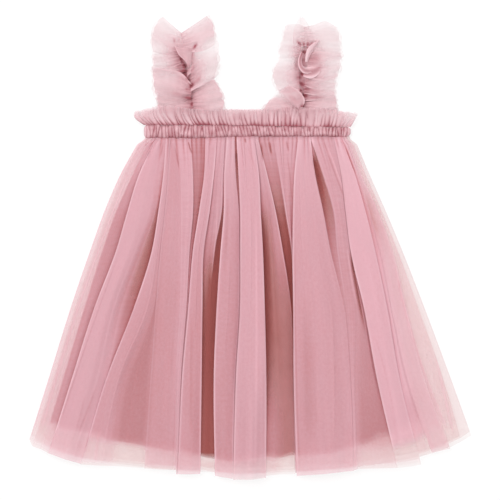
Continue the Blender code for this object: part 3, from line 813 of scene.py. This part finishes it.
def band_half(front):
    """Half of the elastic band: pinched along both stitch lines, full between them."""
    up, across = strip_grid(27, 560)
    slant = 0.004 * drift(across, up, 9, 1, 75) * (2 * up - 1)
    place, strength, _ = uneven_pleats(np.clip(across + slant, 0, 1), 2 * up[:, 0] - 1,
                                       BAND_PLEATS, 71, 0.5)
    wave = crest(place, 0.7) * strength
    bulge = (1 - (2 * up - 1) ** 4) ** 0.85
    ends = (1 - (2 * across - 1) ** 12) ** 0.5
    wander = drift(across, up, 46, 1, 73)
    x = BAND_LEFT + across * (BAND_RIGHT - BAND_LEFT)
    low, high = band_seams(x)
    x = x - BAND_END_ROUND * (2 * up - 1) ** 4 * (2 * across - 1) ** 41
    y = low + up * (high - low) + 0.6 * wave * (2 * up - 1) + 0.45 * wander
    fine = 0.35 * drift(across, up, 230, 4, 72)
    if front:
        depth = BAND_CROWN - BAND_FLOOR - BAND_RISE
        z = BAND_FLOOR + ends * (BAND_EDGE_RISE + (depth - BAND_EDGE_RISE) * bulge * 0.8
                                 + (BAND_RISE * wave + fine) * (0.45 + 0.55 * bulge))
    else:
        z = np.maximum(0.15, 3.4 - 2.9 * bulge * ends + 0.3 * (1 - wave) * ends)
    trough = 1 - crest(place, 0.45)
    pinch = np.exp(-((1 - np.abs(2 * up - 1)) / 0.13) ** 2)
    turned = np.exp(-((1 - np.abs(2 * across - 1)) / 0.03) ** 2)
    # Painted shade in the troughs of the gathers, darker along both stitch lines, painted highlight
    # on the crests and at the turned ends, and tone that varies at random
    shade_and_tone = np.clip(0.46 + (0.28 + 0.32 * strength) * trough - 0.32 * wave * bulge
                   + (0.12 * up + 0.1) * pinch + 0.30 * drift(across, up, 60, 3, 74)
                   - 0.5 * turned, -0.6, 1.3)
    cut = np.stack([across * 0.43, up * 0.016], axis=-1)
    return np.stack([x, y, z], axis=-1), cut, {"veil": np.full_like(z, 0.96), "shading_and_tone": shade_and_tone}


def frill_half(front, sheet):
    """Half of the frill: gathered tight at the band, opening into uneven waves."""
    out, across = strip_grid(17, 660)
    place, strength, reach = uneven_pleats(across, out[:, 0], FRILL_PLEATS, 81 + sheet, 0.85)
    tight, loose = crest(place, 0.55), crest(place, 1.4)
    wave = strength * (tight * (1 - out) + loose * out * (0.5 + 0.5 * reach))
    slow = 0.5 + 0.5 * drift(across, out, 15, 2, 91 + sheet)
    x = (BAND_LEFT + across * (BAND_RIGHT - BAND_LEFT)
         - FRILL_LEFT_FLARE * (1 - across) ** 2.4 * np.sin(FLARE_TURN * out) / np.sin(FLARE_TURN)
         + FRILL_RIGHT_FLARE * across ** 7 * out ** 0.9)
    under_strap = np.exp(-((x + 88) / 15) ** 2) + 0.4 * np.exp(-((x - 52) / 30) ** 2)
    edge = (FRILL_EDGE + 2.4 * (slow - 0.5) + 1.2 * (wave - 0.5) - 4.2 * across ** 14
            - 2.0 * (1 - across) ** 20 - 0.9 * sheet + 4.0 * under_strap * front)
    base = band_seams(x)[1] + 0.3
    y = base + out * (edge - base)
    if front:
        z = (FRILL_FLOOR + 0.9 * sheet + 2.0 * np.sin(math.pi * 0.8 * out)
             + wave * (1.6 + 1.2 * out) + 1.4 * slow * out)
    else:
        z = 0.3 + 0.7 * wave
    trough = 1 - crest(place, 0.5)
    patchy = drift(across, out, 26, 2, 95 + sheet)
    tip = smooth_step((across - 0.925) / 0.05) + 0.6 * smooth_step((0.07 - across) / 0.06)
    tight_spot = np.exp(-((x - 36) / 18) ** 2)
    # Painted shade in the troughs of the gathers, towards the band and at the tight spot; painted
    # highlight on the waves, along the rim and at the tips; and tone that varies at random
    shade_and_tone = ((0.1 + 1.4 * strength) * trough * (1 - out) ** 0.8 * (1 - 0.8 * tip)
            + 0.35 * np.exp(-(out / 0.12) ** 2) * (1 - 0.8 * tip)
            - 0.6 * wave * np.sin(math.pi * out) - 0.5 * np.exp(-((1 - out) / 0.06) ** 2)
            + 0.50 * patchy * (1 - 0.5 * out) + 0.35 * (1 - out) ** 1.5 - 0.1
            + 0.25 * tight_spot - 0.3 * tip)
    veil = (0.70 - 0.38 * out ** 1.4 + 0.24 * (1 - out) ** 2 + 0.14 * wave + 0.08 * patchy
            + 0.2 * tight_spot) * (1 - 0.45 * tip)
    cut = np.stack([across * 0.5, out * 0.016], axis=-1)
    masks = {"veil": np.clip(veil, 0.1, 0.96), "shading_and_tone": np.clip(shade_and_tone, -0.8, 1)}
    return np.stack([x, y, z], axis=-1), cut, masks


class DRESS_OT_band(Operator):
    """Shirr the elastic band, front and back"""
    bl_idname = "dress.band"
    bl_label = "Band"

    def execute(self, context):
        tulle = gathered_tulle("band_tulle", context.scene)
        for front, name in ((False, "band_back"), (True, "band_front")):
            piece = cloth_piece(f"shirred_{name}", [band_half(front)], tulle)
            dress_piece(piece, "gathered_tulle", name)
        return {"FINISHED"}


class DRESS_OT_frill(Operator):
    """Gather the frill along the top of the band"""
    bl_idname = "dress.frill"
    bl_label = "Frill"

    def execute(self, context):
        tulle = gathered_tulle("frill_tulle", context.scene)
        for front, sheet, name, node in (
                (False, 0, "frill_back_tulle", "frill_back"),
                (True, 0, "frill_front_under", None),
                (True, 1, "frill_front_over", "frill_front")):
            piece = cloth_piece(name, [frill_half(front, sheet)], tulle)
            dress_piece(piece, "gathered_tulle", *([node] if node else []))
        return {"FINISHED"}


# ------------------------------------------------------------ straps

STRAP_TUCK = 139.0          # where a strap's sewn end lies behind the frill
STRAP_EXIT = 148.0          # where it comes out from behind it
LOWEST_RIM = 0.8            # no petal's rim goes lower above the table
CREVICE_DEPTH = 0.72
CREVICE_VEIL = 0.55         # how much thicker the tulle lies in a crevice
PETAL_SEED = 300
Ruffle = namedtuple("Ruffle", "seam_x seam_y left_reach left_rise right_reach right_rise")
# A row for each ruffle wave, from the frill up to the shoulder: where it crosses
# the gathering seam, and how far its two ends reach out and up from there.
LEFT_STRAP = table_of(
    Ruffle,
    (-60.5, 153.5, 38.0, 3.0, 34.5, 3.0),
    (-61.8, 161.0, 37.6, 8.0, 32.8, 7.0),
    (-63.8, 169.0, 38.0, 11.0, 27.0, 8.0),
    (-66.0, 176.0, 37.0, 12.0, 34.0, 9.0),
    (-68.6, 183.5, 34.0, 12.5, 38.0, 11.0),
    (-71.5, 191.5, 31.0, 14.0, 40.3, 13.5),
    (-74.1, 199.5, 30.3, 16.5, 41.5, 17.0),
    (-76.0, 208.0, 28.5, 16.5, 40.0, 19.5),
    (-75.2, 217.0, 23.5, 17.0, 35.5, 20.5),
    (-73.0, 225.5, 17.5, 14.0, 29.2, 16.0),
)
RIGHT_STRAP = table_of(
    Ruffle,
    (55.6, 153.5, 36.5, -1.0, 36.0, -1.0),
    (56.2, 160.0, 25.0, 3.0, 33.5, 0.0),
    (56.4, 167.5, 28.5, 3.0, 33.5, 1.0),
    (55.6, 175.0, 32.5, 4.5, 35.0, 1.5),
    (54.6, 182.5, 31.0, 5.0, 38.0, 2.5),
    (54.2, 190.5, 24.5, 6.0, 40.5, 3.5),
    (54.4, 198.5, 24.0, 7.5, 40.5, 5.0),
    (56.2, 207.0, 24.0, 9.0, 38.0, 7.0),
    (57.6, 216.0, 22.0, 9.0, 35.0, 9.0),
    (56.4, 228.0, 17.0, 7.0, 33.5, 7.0),
)

Petal = namedtuple("Petal", "name low high bulge level crown lip pleats root_veil rim_veil deepen "
                            "fade_low fade_high", defaults=(1, 1))
# A row for each turned-over petal of ruffle, the lowest layer first. Its two long
# edges run from the gathering seam out to the rim; the low one is the crisp one that
# lies on top, and the high one is tucked in. The level is the height of its root, and
# the fades say how far the two edges melt into what lies below them.
# A petal's added shade is painted shade inside it and at its root, and painted highlight where it
# is negative.
LEFT_PETALS = table_of(
    Petal,
    ("left_low", ((-59, 144), (-78, 142), (-95, 143)), ((-61, 163), (-78, 171), (-97, 173)),
     1, 6, 3, 1, 8, 0.88, 0.58, 0.75, 0, 1),
    ("right_low", ((-62, 166), (-50, 173), (-38.5, 178)), ((-60, 144), (-44, 141), (-28, 142)),
     4, 6, 4, 1, 7, 0.88, 0.54, 0.5, 0, 0),
    ("left_ear", ((-69, 207), (-87, 203), (-102, 207)), ((-71, 226.0), (-81, 234.5), (-92, 244.5)),
     5, 8, 3, 1, 4, 0.54, 0.36, 0.12, 0.6, 0.35),
    ("right_ear", ((-68, 206), (-50, 207), (-37, 214)),
     ((-72.5, 226), (-60, 234.5), (-44.5, 245.5)),
     3, 8, 3, 1, 5, 0.62, 0.48, 0.12, 0.7, 0.3),
    ("left_second", ((-72, 194), (-84, 189), (-99, 191)), ((-76, 211), (-88, 211), (-99.5, 208)),
     2, 10, 4, 2, 5, 0.62, 0.34, 0.5, 0.7, 1),
    ("left_third", ((-67, 186), (-80, 183), (-99, 178)), ((-70, 197), (-86, 196), (-99, 197)),
     3, 10, 4, 2, 5, 0.68, 0.36, 0.6, 0.7, 1),
    ("left_big", ((-60, 171.5), (-73, 184.5), (-99, 190)), ((-62, 157), (-78, 150), (-96, 152)),
     3, 12, 6, 2, 5, 0.90, 0.54, 0.62, 0.5, 1),
    ("right_wing", ((-62, 165), (-50, 171), (-38, 178)), ((-61, 206), (-50, 212), (-38, 213)),
     5, 12, 6, 2, 7, 0.76, 0.30, 0.45, 0, 1),
    ("right_inner", ((-61, 172), (-55, 176), (-50, 183)), ((-64, 184), (-58, 187), (-52, 189)),
     1, 12, 3, 2, 3, 0.75, 0.30, 0.5),
    ("knot", ((-66, 176), (-65, 181), (-60, 185)), ((-66, 187), (-63, 190), (-59, 191)),
     1, 13, 2, 1, 2, 0.80, 0.70, 0.2, 0, 0),
    ("tongue", ((-64, 188), (-67, 196), (-74, 202.5), (-78.6, 212.5)),
     ((-63.5, 188.5), (-61, 196), (-60, 203), (-58.6, 208.5)), 0, 13, 4, 2, 2, 0.84, 0.60, 0.2,
     0, 0),
)
RIGHT_PETALS = table_of(
    Petal,
    ("left_corner", ((54, 144), (36, 143), (13, 146)), ((54, 158), (44, 163), (31, 165)),
     1, 6, 3, 1, 4, 0.88, 0.60, 0.6, 0, 1),
    ("right_low", ((54, 144), (72, 143), (91, 145)), ((56, 164), (73, 167), (88.5, 168)),
     0, 6, 3, 1, 6, 0.84, 0.54, 0.5, 0, 1),
    ("left_top", ((57.1, 213), (46, 210), (35, 213)), ((57.1, 233.5), (50, 236), (38, 236)),
     2, 7, 3, 1, 4, 0.40, 0.26, 0.1, 1, 0.4),
    ("right_top", ((56.9, 213), (76, 208), (94, 209)),
     ((56.9, 233), (66, 235), (79, 239), (90.5, 233)),
     2, 7, 3, 1, 6, 0.44, 0.31, 0.1, 0.8, 0.4),
    ("tuft", ((45, 215), (45.5, 228), (49.5, 239.0)), ((68, 215), (64, 230), (58.5, 240.0)),
     3.5, 8.4, 2, 1, 4, 0.16, 0.17, 0.0, 0.6, 0.3),
    ("left_upper", ((51, 202), (41, 200), (31, 199)), ((54, 215), (43, 219), (33.5, 221)),
     2, 9, 3, 1, 4, 0.50, 0.18, 0.4),
    ("left_wing", ((52, 166), (40, 163), (29, 166)), ((50, 204), (41, 204), (31, 202)),
     5.5, 8.6, 3, 1, 6, 0.54, 0.30, 0.2, 0.3, 1),
    ("right_upper", ((60, 190), (78, 190), (94, 193)), ((60, 215), (78, 216), (95, 214)),
     1, 8.2, 3, 1.5, 6, 0.72, 0.36, 0.4, 1, 1),
    ("right_fold_a", ((56, 155), (70, 156), (88, 157)), ((57, 166), (72, 170), (88, 170)),
     1, 8.4, 3, 1.5, 2, 0.70, 0.40, 0.6, 0.8, 1),
    ("right_fold_b", ((57, 163), (70, 161), (88, 165)), ((57, 173), (74, 177), (89, 178)),
     1, 8.7, 3, 1.5, 3, 0.70, 0.38, 0.7, 0.8, 1),
    ("right_fold_c", ((57, 171), (68, 168), (88, 173)), ((59, 180), (75, 185), (90, 187)),
     1, 9.0, 3, 1.5, 2, 0.70, 0.38, 0.5, 0.8, 1),
    ("right_fold_d", ((62, 178), (76, 176.5), (91, 181)), ((64, 196), (80, 199), (94, 200)),
     2, 9.3, 3, 1.5, 4, 0.68, 0.34, 0.3, 0.6, 1),
    ("leaf", ((52.7, 146), (56.8, 153), (56, 159.5), (50, 166.5), (41, 170.5), (33.5, 167)),
     ((50, 147), (44, 148), (38, 150), (33, 153), (29, 158), (29, 163)),
     0, 10.2, 3.5, 0.6, 1, 0.80, 0.48, 0.1, 0, 1),
    ("cup", ((55.5, 180.6), (61, 178.6), (67, 179.6), (72.5, 184), (74.8, 189.6)),
     ((57, 190), (61, 190.6), (66, 191.9), (70, 193), (73.8, 193.6)),
     0, 12.3, 1.5, 0.6, 0, 0.80, 0.74, 0.5, 0, 0),
    ("curl", ((53.2, 206), (50.4, 199), (50.6, 191), (54.2, 185), (59.4, 183.4), (64, 184.6)),
     ((56, 205), (54, 198), (54.8, 192.6), (58, 189.8), (61.4, 188.8), (64.6, 188.4)),
     0, 13.4, 1.8, 0.4, 0, 0.80, 0.72, 0.45, 0, 0),
    ("roll", ((57.6, 196), (58.2, 203.5), (60.4, 210), (65.4, 214.8), (71.6, 217.8)),
     ((60.2, 195.6), (61.4, 200.3), (64.6, 205.8), (68.3, 211.2), (72.1, 216.8)),
     0, 13.2, 1.8, 0.4, 0, 0.84, 0.66, -0.9, 0, 0),
)

Crevice = namedtuple("Crevice", "x y length width turn depth")
# A row for each crevice where the gathering thread pulls the cloth in: it sinks the
# cloth, thickens the tulle and is darkened with painted shade. The turn is in degrees
# from level.
CREVICES = table_of(
    Crevice,
    (-79.2, 218.6, 3.8, 0.8, -80, 0.8),
    (-74.5, 219.5, 3.0, 0.8, 82, 0.4),
    (-57.6, 212.2, 4.8, 1.2, 58, 1.6),
    (-71.5, 198.5, 8.0, 1.5, -54, 0.7),
    (-68.2, 192.2, 3.4, 1.8, -50, 1.6),
    (-75.0, 192.0, 6.0, 3.0, -20, 0.5),
    (-69.0, 186.2, 7.6, 1.3, 3, 1.6),
    (-67.0, 181.2, 7.0, 2.8, -48, 0.8),
    (-65.0, 177.6, 4.4, 1.5, -32, 1.5),
    (-60.8, 171.2, 4.2, 1.5, 55, 1.6),
    (-66.0, 167.0, 3.6, 1.2, -8, 0.8),
    (-65.4, 158.4, 8.0, 0.9, -6, 1.1),
    (-61.0, 151.8, 3.4, 1.0, 80, 1.1),
    (-75.0, 162.0, 9.0, 1.6, -12, 0.5),
    (-54.0, 177.0, 6.0, 1.4, 50, 0.7),
    (-57.5, 174.5, 5.0, 1.0, 44, 0.6),
    (51.8, 215.4, 4.6, 1.1, -50, 1.2),
    (56.6, 213.6, 5.0, 1.0, -72, 1.3),
    (60.2, 213.8, 5.0, 1.0, 78, 1.4),
    (64.2, 215.0, 4.6, 0.9, 56, 1.1),
    (68.4, 216.8, 3.6, 0.9, 48, 0.8),
    (56.9, 206.6, 3.2, 1.6, 12, 1.9),
    (56.2, 197.0, 6.0, 1.3, 88, 0.3),
    (47.8, 193.0, 8.0, 1.3, 88, 0.4),
    (62.8, 185.6, 7.0, 1.0, 8, 0.8),
    (54.6, 183.6, 3.4, 1.4, -40, 1.1),
    (50.6, 180.0, 4.0, 1.8, -10, 0.9),
    (53.8, 173.6, 5.0, 1.6, -35, 1.3),
    (52.4, 166.6, 3.4, 1.4, -35, 1.4),
    (57.0, 160.6, 4.6, 1.6, -15, 1.6),
    (67.0, 158.8, 12.0, 1.1, 2, 0.8),
    (63.0, 166.8, 10.0, 1.0, -8, 0.7),
    (54.0, 148.6, 5.0, 1.5, 62, 1.6),
    (46.0, 156.5, 9.0, 1.6, -45, 0.4),
    (68.0, 200.0, 8.0, 3.4, 10, 0.5),
)


def crevice_depth(x, y):
    """How deep in a crevice each point is, from 0 outside them."""
    deepest = np.zeros_like(x)
    for spot in CREVICES:
        turn = math.radians(spot.turn)
        along = (x - spot.x) * math.cos(turn) + (y - spot.y) * math.sin(turn)
        aside = (y - spot.y) * math.cos(turn) - (x - spot.x) * math.sin(turn)
        near = np.exp(-(along / spot.length * 1.5) ** 2 - (aside / spot.width / 1.2) ** 2)
        deepest = np.maximum(deepest, CREVICE_DEPTH * spot.depth * near)
    return deepest


def through(nodes, share):
    """A smooth line through a few nodes, at shares from 0 to 1 of its length."""
    table = np.array(nodes, float)
    table = np.vstack([2 * table[0] - table[1], table, 2 * table[-1] - table[-2]])
    place = np.clip(share, 0, 1) * (len(nodes) - 1)
    first = np.minimum(place.astype(int), len(nodes) - 2)
    t = (place - first)[..., None]
    a, b, c, d = (table[first + step] for step in range(4))
    return 0.5 * (2 * b + (c - a) * t + (2 * a - 5 * b + 4 * c - d) * t ** 2
                  + (3 * b - a - 3 * c + d) * t ** 3)


def petal_patch(petal, seed, layer):
    """One petal of the ruffle's doubled tulle: pleats fan from its root, and its rim is
    thin and waves. The lower layer, 0, is thinner and reaches a little further."""
    out, over = strip_grid(34, 30)
    low, high = through(petal.low, out), through(petal.high, out)
    random = np.random.default_rng(seed)
    shift = random.uniform(0, 1)
    flat = low + (high - low) * over[..., None]
    reach = (np.add(petal.low[-1], petal.high[-1]) - np.add(petal.low[0], petal.high[0])) / 2
    outward = reach / np.hypot(*reach)
    ragged = drift(over, out, max(2, 2 * petal.pleats), 2, seed + layer)
    beyond = (petal.bulge * 4 * over * (1 - over) + 1.1 * ragged * (petal.pleats > 1)
              + 1.6 * (1 - layer)) * out ** 3
    flat = flat + outward * beyond[..., None]
    fan = np.sin(math.tau * (petal.pleats * (over + 0.06 * ragged) + shift)) * (petal.pleats > 0)
    rim_wave = np.sin(math.tau * (0.45 * petal.pleats * over + shift + 0.3 * out))
    round_over = np.sin(math.pi * np.clip(over * 0.85 + 0.12, 0, 1)) ** 0.6
    sunk = crevice_depth(flat[..., 0], flat[..., 1]) * (petal.pleats > 0)
    z = (petal.level - 1.2 * (1 - layer) + petal.crown * np.sin(math.pi * 0.75 * out) * round_over
         + petal.lip * np.exp(-(over / 0.20) ** 2) * np.sin(math.pi * (0.12 + 0.7 * out))
         - 2.6 * over ** 3 + 0.8 * fan * np.exp(-((out - 0.15) / 0.28) ** 2)
         + 1.5 * rim_wave * out ** 1.5 - 3.0 * out ** 3 - 1.8 * sunk)
    z = np.maximum(z, LOWEST_RIM)
    veil = petal.root_veil + (petal.rim_veil - petal.root_veil) * smooth_step(out * 1.2)
    melt = (1 - petal.fade_low * smooth_step((out - 0.25) / 0.5) * (1 - smooth_step(over / 0.45)))
    melt = melt * (1 - petal.fade_high * smooth_step((out + 0.1) / 0.5)
                   * smooth_step((over - 0.5) / 0.5))
    edge = np.exp(-(over / (0.06 if petal.pleats else 0.2)) ** 2)
    inside = 0 * over
    if not petal.pleats:
        edge, inside = edge + np.exp(-((1 - over) / 0.2) ** 2), np.sin(math.pi * over) ** 2
    veil = (veil + 0.20 * edge + 0.05 * fan * (1 - out)) * melt + CREVICE_VEIL * sunk
    # Painted highlight along the lit edges; painted shade inside a petal without pleats, at the
    # root, under the tucked edge, in the pleats' troughs and in crevices
    shade_and_tone = (petal.deepen * inside - 0.75 * edge * (0.4 + 0.6 * smooth_step((1 - out) / 0.6))
            + max(petal.deepen, 0) * (0.7 * np.exp(-(out / 0.18) ** 2)
                              + 0.45 * smooth_step((over - 0.72) / 0.28) * (1 - 0.7 * out)
                              + 0.35 * (0.5 - 0.5 * fan) * (1 - out) ** 2))
    cut = np.stack([over * 0.02 + shift, out * 0.038], axis=-1)
    masks = {"veil": np.clip(veil * (0.55 + 0.45 * layer), 0.03, 0.96),
             "shading_and_tone": np.clip(shade_and_tone + sunk, -1, 2)}
    return np.concatenate([flat, z[..., None]], axis=-1), cut, masks


def strap_ruffle(ruffles, front):
    """One stretch of strap, gathered along its middle, below the turned-over petals."""
    count = len(ruffles)
    table = np.array(ruffles)
    first = table[0]
    tuck = [[first[0], y, first[2], 0.0, first[4], 0.0] for y in (STRAP_TUCK, STRAP_EXIT)]
    table = np.vstack([tuck, table])
    along, across = strip_grid(14 * (count + 1), 57)
    index, out = along * (len(table) - 1), 2 * across - 1
    side = np.abs(out)
    shake = 0.25 * drift(side, along, 3, 2 * count, 130)
    phase = math.tau * (index + np.where(out < 0, 0.0, 0.37) + shake)
    open_up = smooth_step((index - 1.0) / 1.2)
    at_top = smooth_step((len(table) - 1.4 - index) / 2.6)
    lean = (0.9 if front else 0.5) * smooth_step(side / 0.25) * open_up * at_top
    place = np.clip(index + lean * np.sin(phase) / math.tau, 0, len(table) - 1)
    seam_x, seam_y, left_reach, left_rise, right_reach, right_rise = (
        np.interp(place, np.arange(len(table)), table[:, part]) for part in range(6))
    reach = np.where(out < 0, left_reach, right_reach)
    climb = np.where(out < 0, left_rise, right_rise)
    wave = 0.5 + 0.5 * np.cos(phase)
    x = seam_x + out * reach * (1 - 0.05 * (1 - wave) * open_up)
    y = seam_y + climb * side ** 1.35
    swell = np.sin(math.pi * 0.72 * side)
    if front:
        z = 3.6 + open_up * (3.0 * swell + 1.8 * wave * smooth_step(side / 0.35))
    else:
        z = (np.interp(index, (0, 1, 1.6), (1.9, 1.9, 0.4))
             + open_up * 1.4 * (wave * swell + 0.3 * swell))
    # Painted shade along the gathered core and in the troughs of the waves; the core's tulle also
    # lies thicker
    core = np.exp(-(side / 0.18) ** 2) * at_top
    shade_and_tone = np.clip(0.40 * core + 0.2 * (1 - wave) ** 2 * (1 - side), 0, 2)
    turned = smooth_step((index - len(table) + 3.2) / 2)
    veil = ((0.32 - 0.23 * smooth_step(side / 0.75) + 0.06 * wave * (1 - side))
            * (1 - 0.85 * turned) + 0.50 * core)
    if front:
        # Crevices sink the cloth, thicken the tulle and get painted shade
        sunk = crevice_depth(x, y)
        shade_and_tone, veil, z = np.minimum(shade_and_tone + sunk, 2), veil + CREVICE_VEIL * sunk, z - 1.2 * sunk
    cut = np.stack([index * 0.02, out * 0.038], axis=-1)
    masks = {"veil": np.clip(veil, 0.02, 0.95), "shading_and_tone": shade_and_tone}
    return np.stack([x, y, z], axis=-1), cut, masks


class DRESS_OT_straps(Operator):
    """Ruffle both shoulder straps"""
    bl_idname = "dress.straps"
    bl_label = "Straps"

    def execute(self, context):
        tulle = gathered_tulle("strap_tulle", context.scene)
        for side, ruffles, petals in (("left", LEFT_STRAP, LEFT_PETALS),
                                      ("right", RIGHT_STRAP, RIGHT_PETALS)):
            back = cloth_piece(f"{side}_back_ruffle", [strap_ruffle(ruffles, False)], tulle)
            dress_piece(back, "gathered_tulle", f"strap_{side}_back")
            under = cloth_piece(f"{side}_front_ruffle", [strap_ruffle(ruffles, True)], tulle)
            dress_piece(under, "gathered_tulle", f"strap_{side}_front")
            turned = cloth_piece(f"{side}_front_petals", [
                petal_patch(petal, PETAL_SEED + number, layer)
                for number, petal in enumerate(petals) for layer in (0, 1)], tulle)
            dress_piece(turned, "gathered_tulle")
        return {"FINISHED"}


# ------------------------------------------------------------ stage

CAMERA_HEIGHT = 2.4
VIEW_WIDTH = 0.52175        # metres of the table across the picture
CAMERA_Y = -0.0005
CLOTH_PLANE = 0.012         # height above the table at which the view's width holds
SENSOR = 36.0
FLOOR_SHADE = 0.33          # how much of the floor's brightness the dress can shade
FLOOR_GLOW = 0.74
FLOOR_HEIGHT = -0.0004
FLOOR_HALF = 4.0
SKY_COLOUR = (1.0, 0.985, 0.98)
SKY_STRENGTH = 0.62
SHEER_LAYERS = 32           # how many layers of tulle light may pass through
Lamp = namedtuple("Lamp", "name place size power")
LAMPS = (Lamp("key", (-0.9, 0.7, 2.0), 1.4, 26.0), Lamp("fill", (1.2, 0.3, 1.8), 1.6, 12.0))


class DRESS_OT_stage(Operator):
    """Set the pale floor, the soft light and the camera above"""
    bl_idname = "dress.stage"
    bl_label = "Stage"

    def execute(self, context):
        colours = context.scene.dress_colours
        floor_mesh = bmesh.new()
        bmesh.ops.create_grid(floor_mesh, x_segments=1, y_segments=1, size=FLOOR_HALF)
        mesh = bpy.data.meshes.new("floor")
        floor_mesh.to_mesh(mesh)
        floor_mesh.free()
        for vert in mesh.vertices:
            vert.co.z = FLOOR_HEIGHT
        floor = bpy.data.objects.new("floor", mesh)
        context.scene.collection.objects.link(floor)
        shade = Shade("floor")
        mesh.materials.append(shade.finish({
            "Base Color": opaque([part * FLOOR_SHADE for part in colours.floor]),
            "Roughness": 0.9, "Specular IOR Level": 0.1,
            "Emission Color": opaque(colours.floor), "Emission Strength": FLOOR_GLOW}))
        world = bpy.data.worlds.new("studio")
        context.scene.world = world
        world.use_nodes = True
        sky = world.node_tree.nodes["Background"]
        sky.inputs["Color"].default_value = opaque(SKY_COLOUR)
        sky.inputs["Strength"].default_value = SKY_STRENGTH
        for lamp in LAMPS:
            glow = bpy.data.lights.new(lamp.name, "AREA")
            glow.shape = "DISK"
            glow.size = lamp.size
            glow.energy = lamp.power
            light = bpy.data.objects.new(lamp.name, glow)
            context.scene.collection.objects.link(light)
            light.location = lamp.place
            light.rotation_euler = (-Vector(lamp.place)).to_track_quat("-Z", "Y").to_euler()
        lens = bpy.data.cameras.new("camera")
        lens.sensor_width = SENSOR
        lens.lens = SENSOR * (CAMERA_HEIGHT - CLOTH_PLANE) / VIEW_WIDTH
        camera = bpy.data.objects.new("camera", lens)
        context.scene.collection.objects.link(camera)
        camera.location = (0.0, CAMERA_Y, CAMERA_HEIGHT)
        context.scene.camera = camera
        context.scene.view_settings.view_transform = "Standard"
        context.scene.cycles.transparent_max_bounces = SHEER_LAYERS
        return {"FINISHED"}


# ------------------------------------------------------------ add-on

STEPS = (DRESS_OT_skirt, DRESS_OT_band, DRESS_OT_frill, DRESS_OT_straps, DRESS_OT_stage)


class DRESS_PT_panel(Panel):
    """Lists the steps and their settings"""
    bl_label = "Toddler party dress"
    bl_idname = "DRESS_PT_panel"
    bl_space_type = "VIEW_3D"
    bl_region_type = "UI"
    bl_category = "Dress"

    def draw(self, context):
        for step in STEPS:
            self.layout.operator(step.bl_idname)
        for group in (context.scene.dress_cloth, context.scene.dress_colours):
            for name in type(group).__annotations__:
                self.layout.prop(group, name)


CLASSES = (DressCloth, DressColours, *STEPS, DRESS_PT_panel)


def register():
    for part in CLASSES:
        bpy.utils.register_class(part)
    bpy.types.Scene.dress_cloth = PointerProperty(type=DressCloth)
    bpy.types.Scene.dress_colours = PointerProperty(type=DressColours)


def unregister():
    del bpy.types.Scene.dress_colours
    del bpy.types.Scene.dress_cloth
    for part in reversed(CLASSES):
        bpy.utils.unregister_class(part)


def main():
    register()
    bpy.ops.dress.skirt()
    bpy.ops.dress.band()
    bpy.ops.dress.frill()
    bpy.ops.dress.straps()
    bpy.ops.dress.stage()


if __name__ == "__main__":
    main()
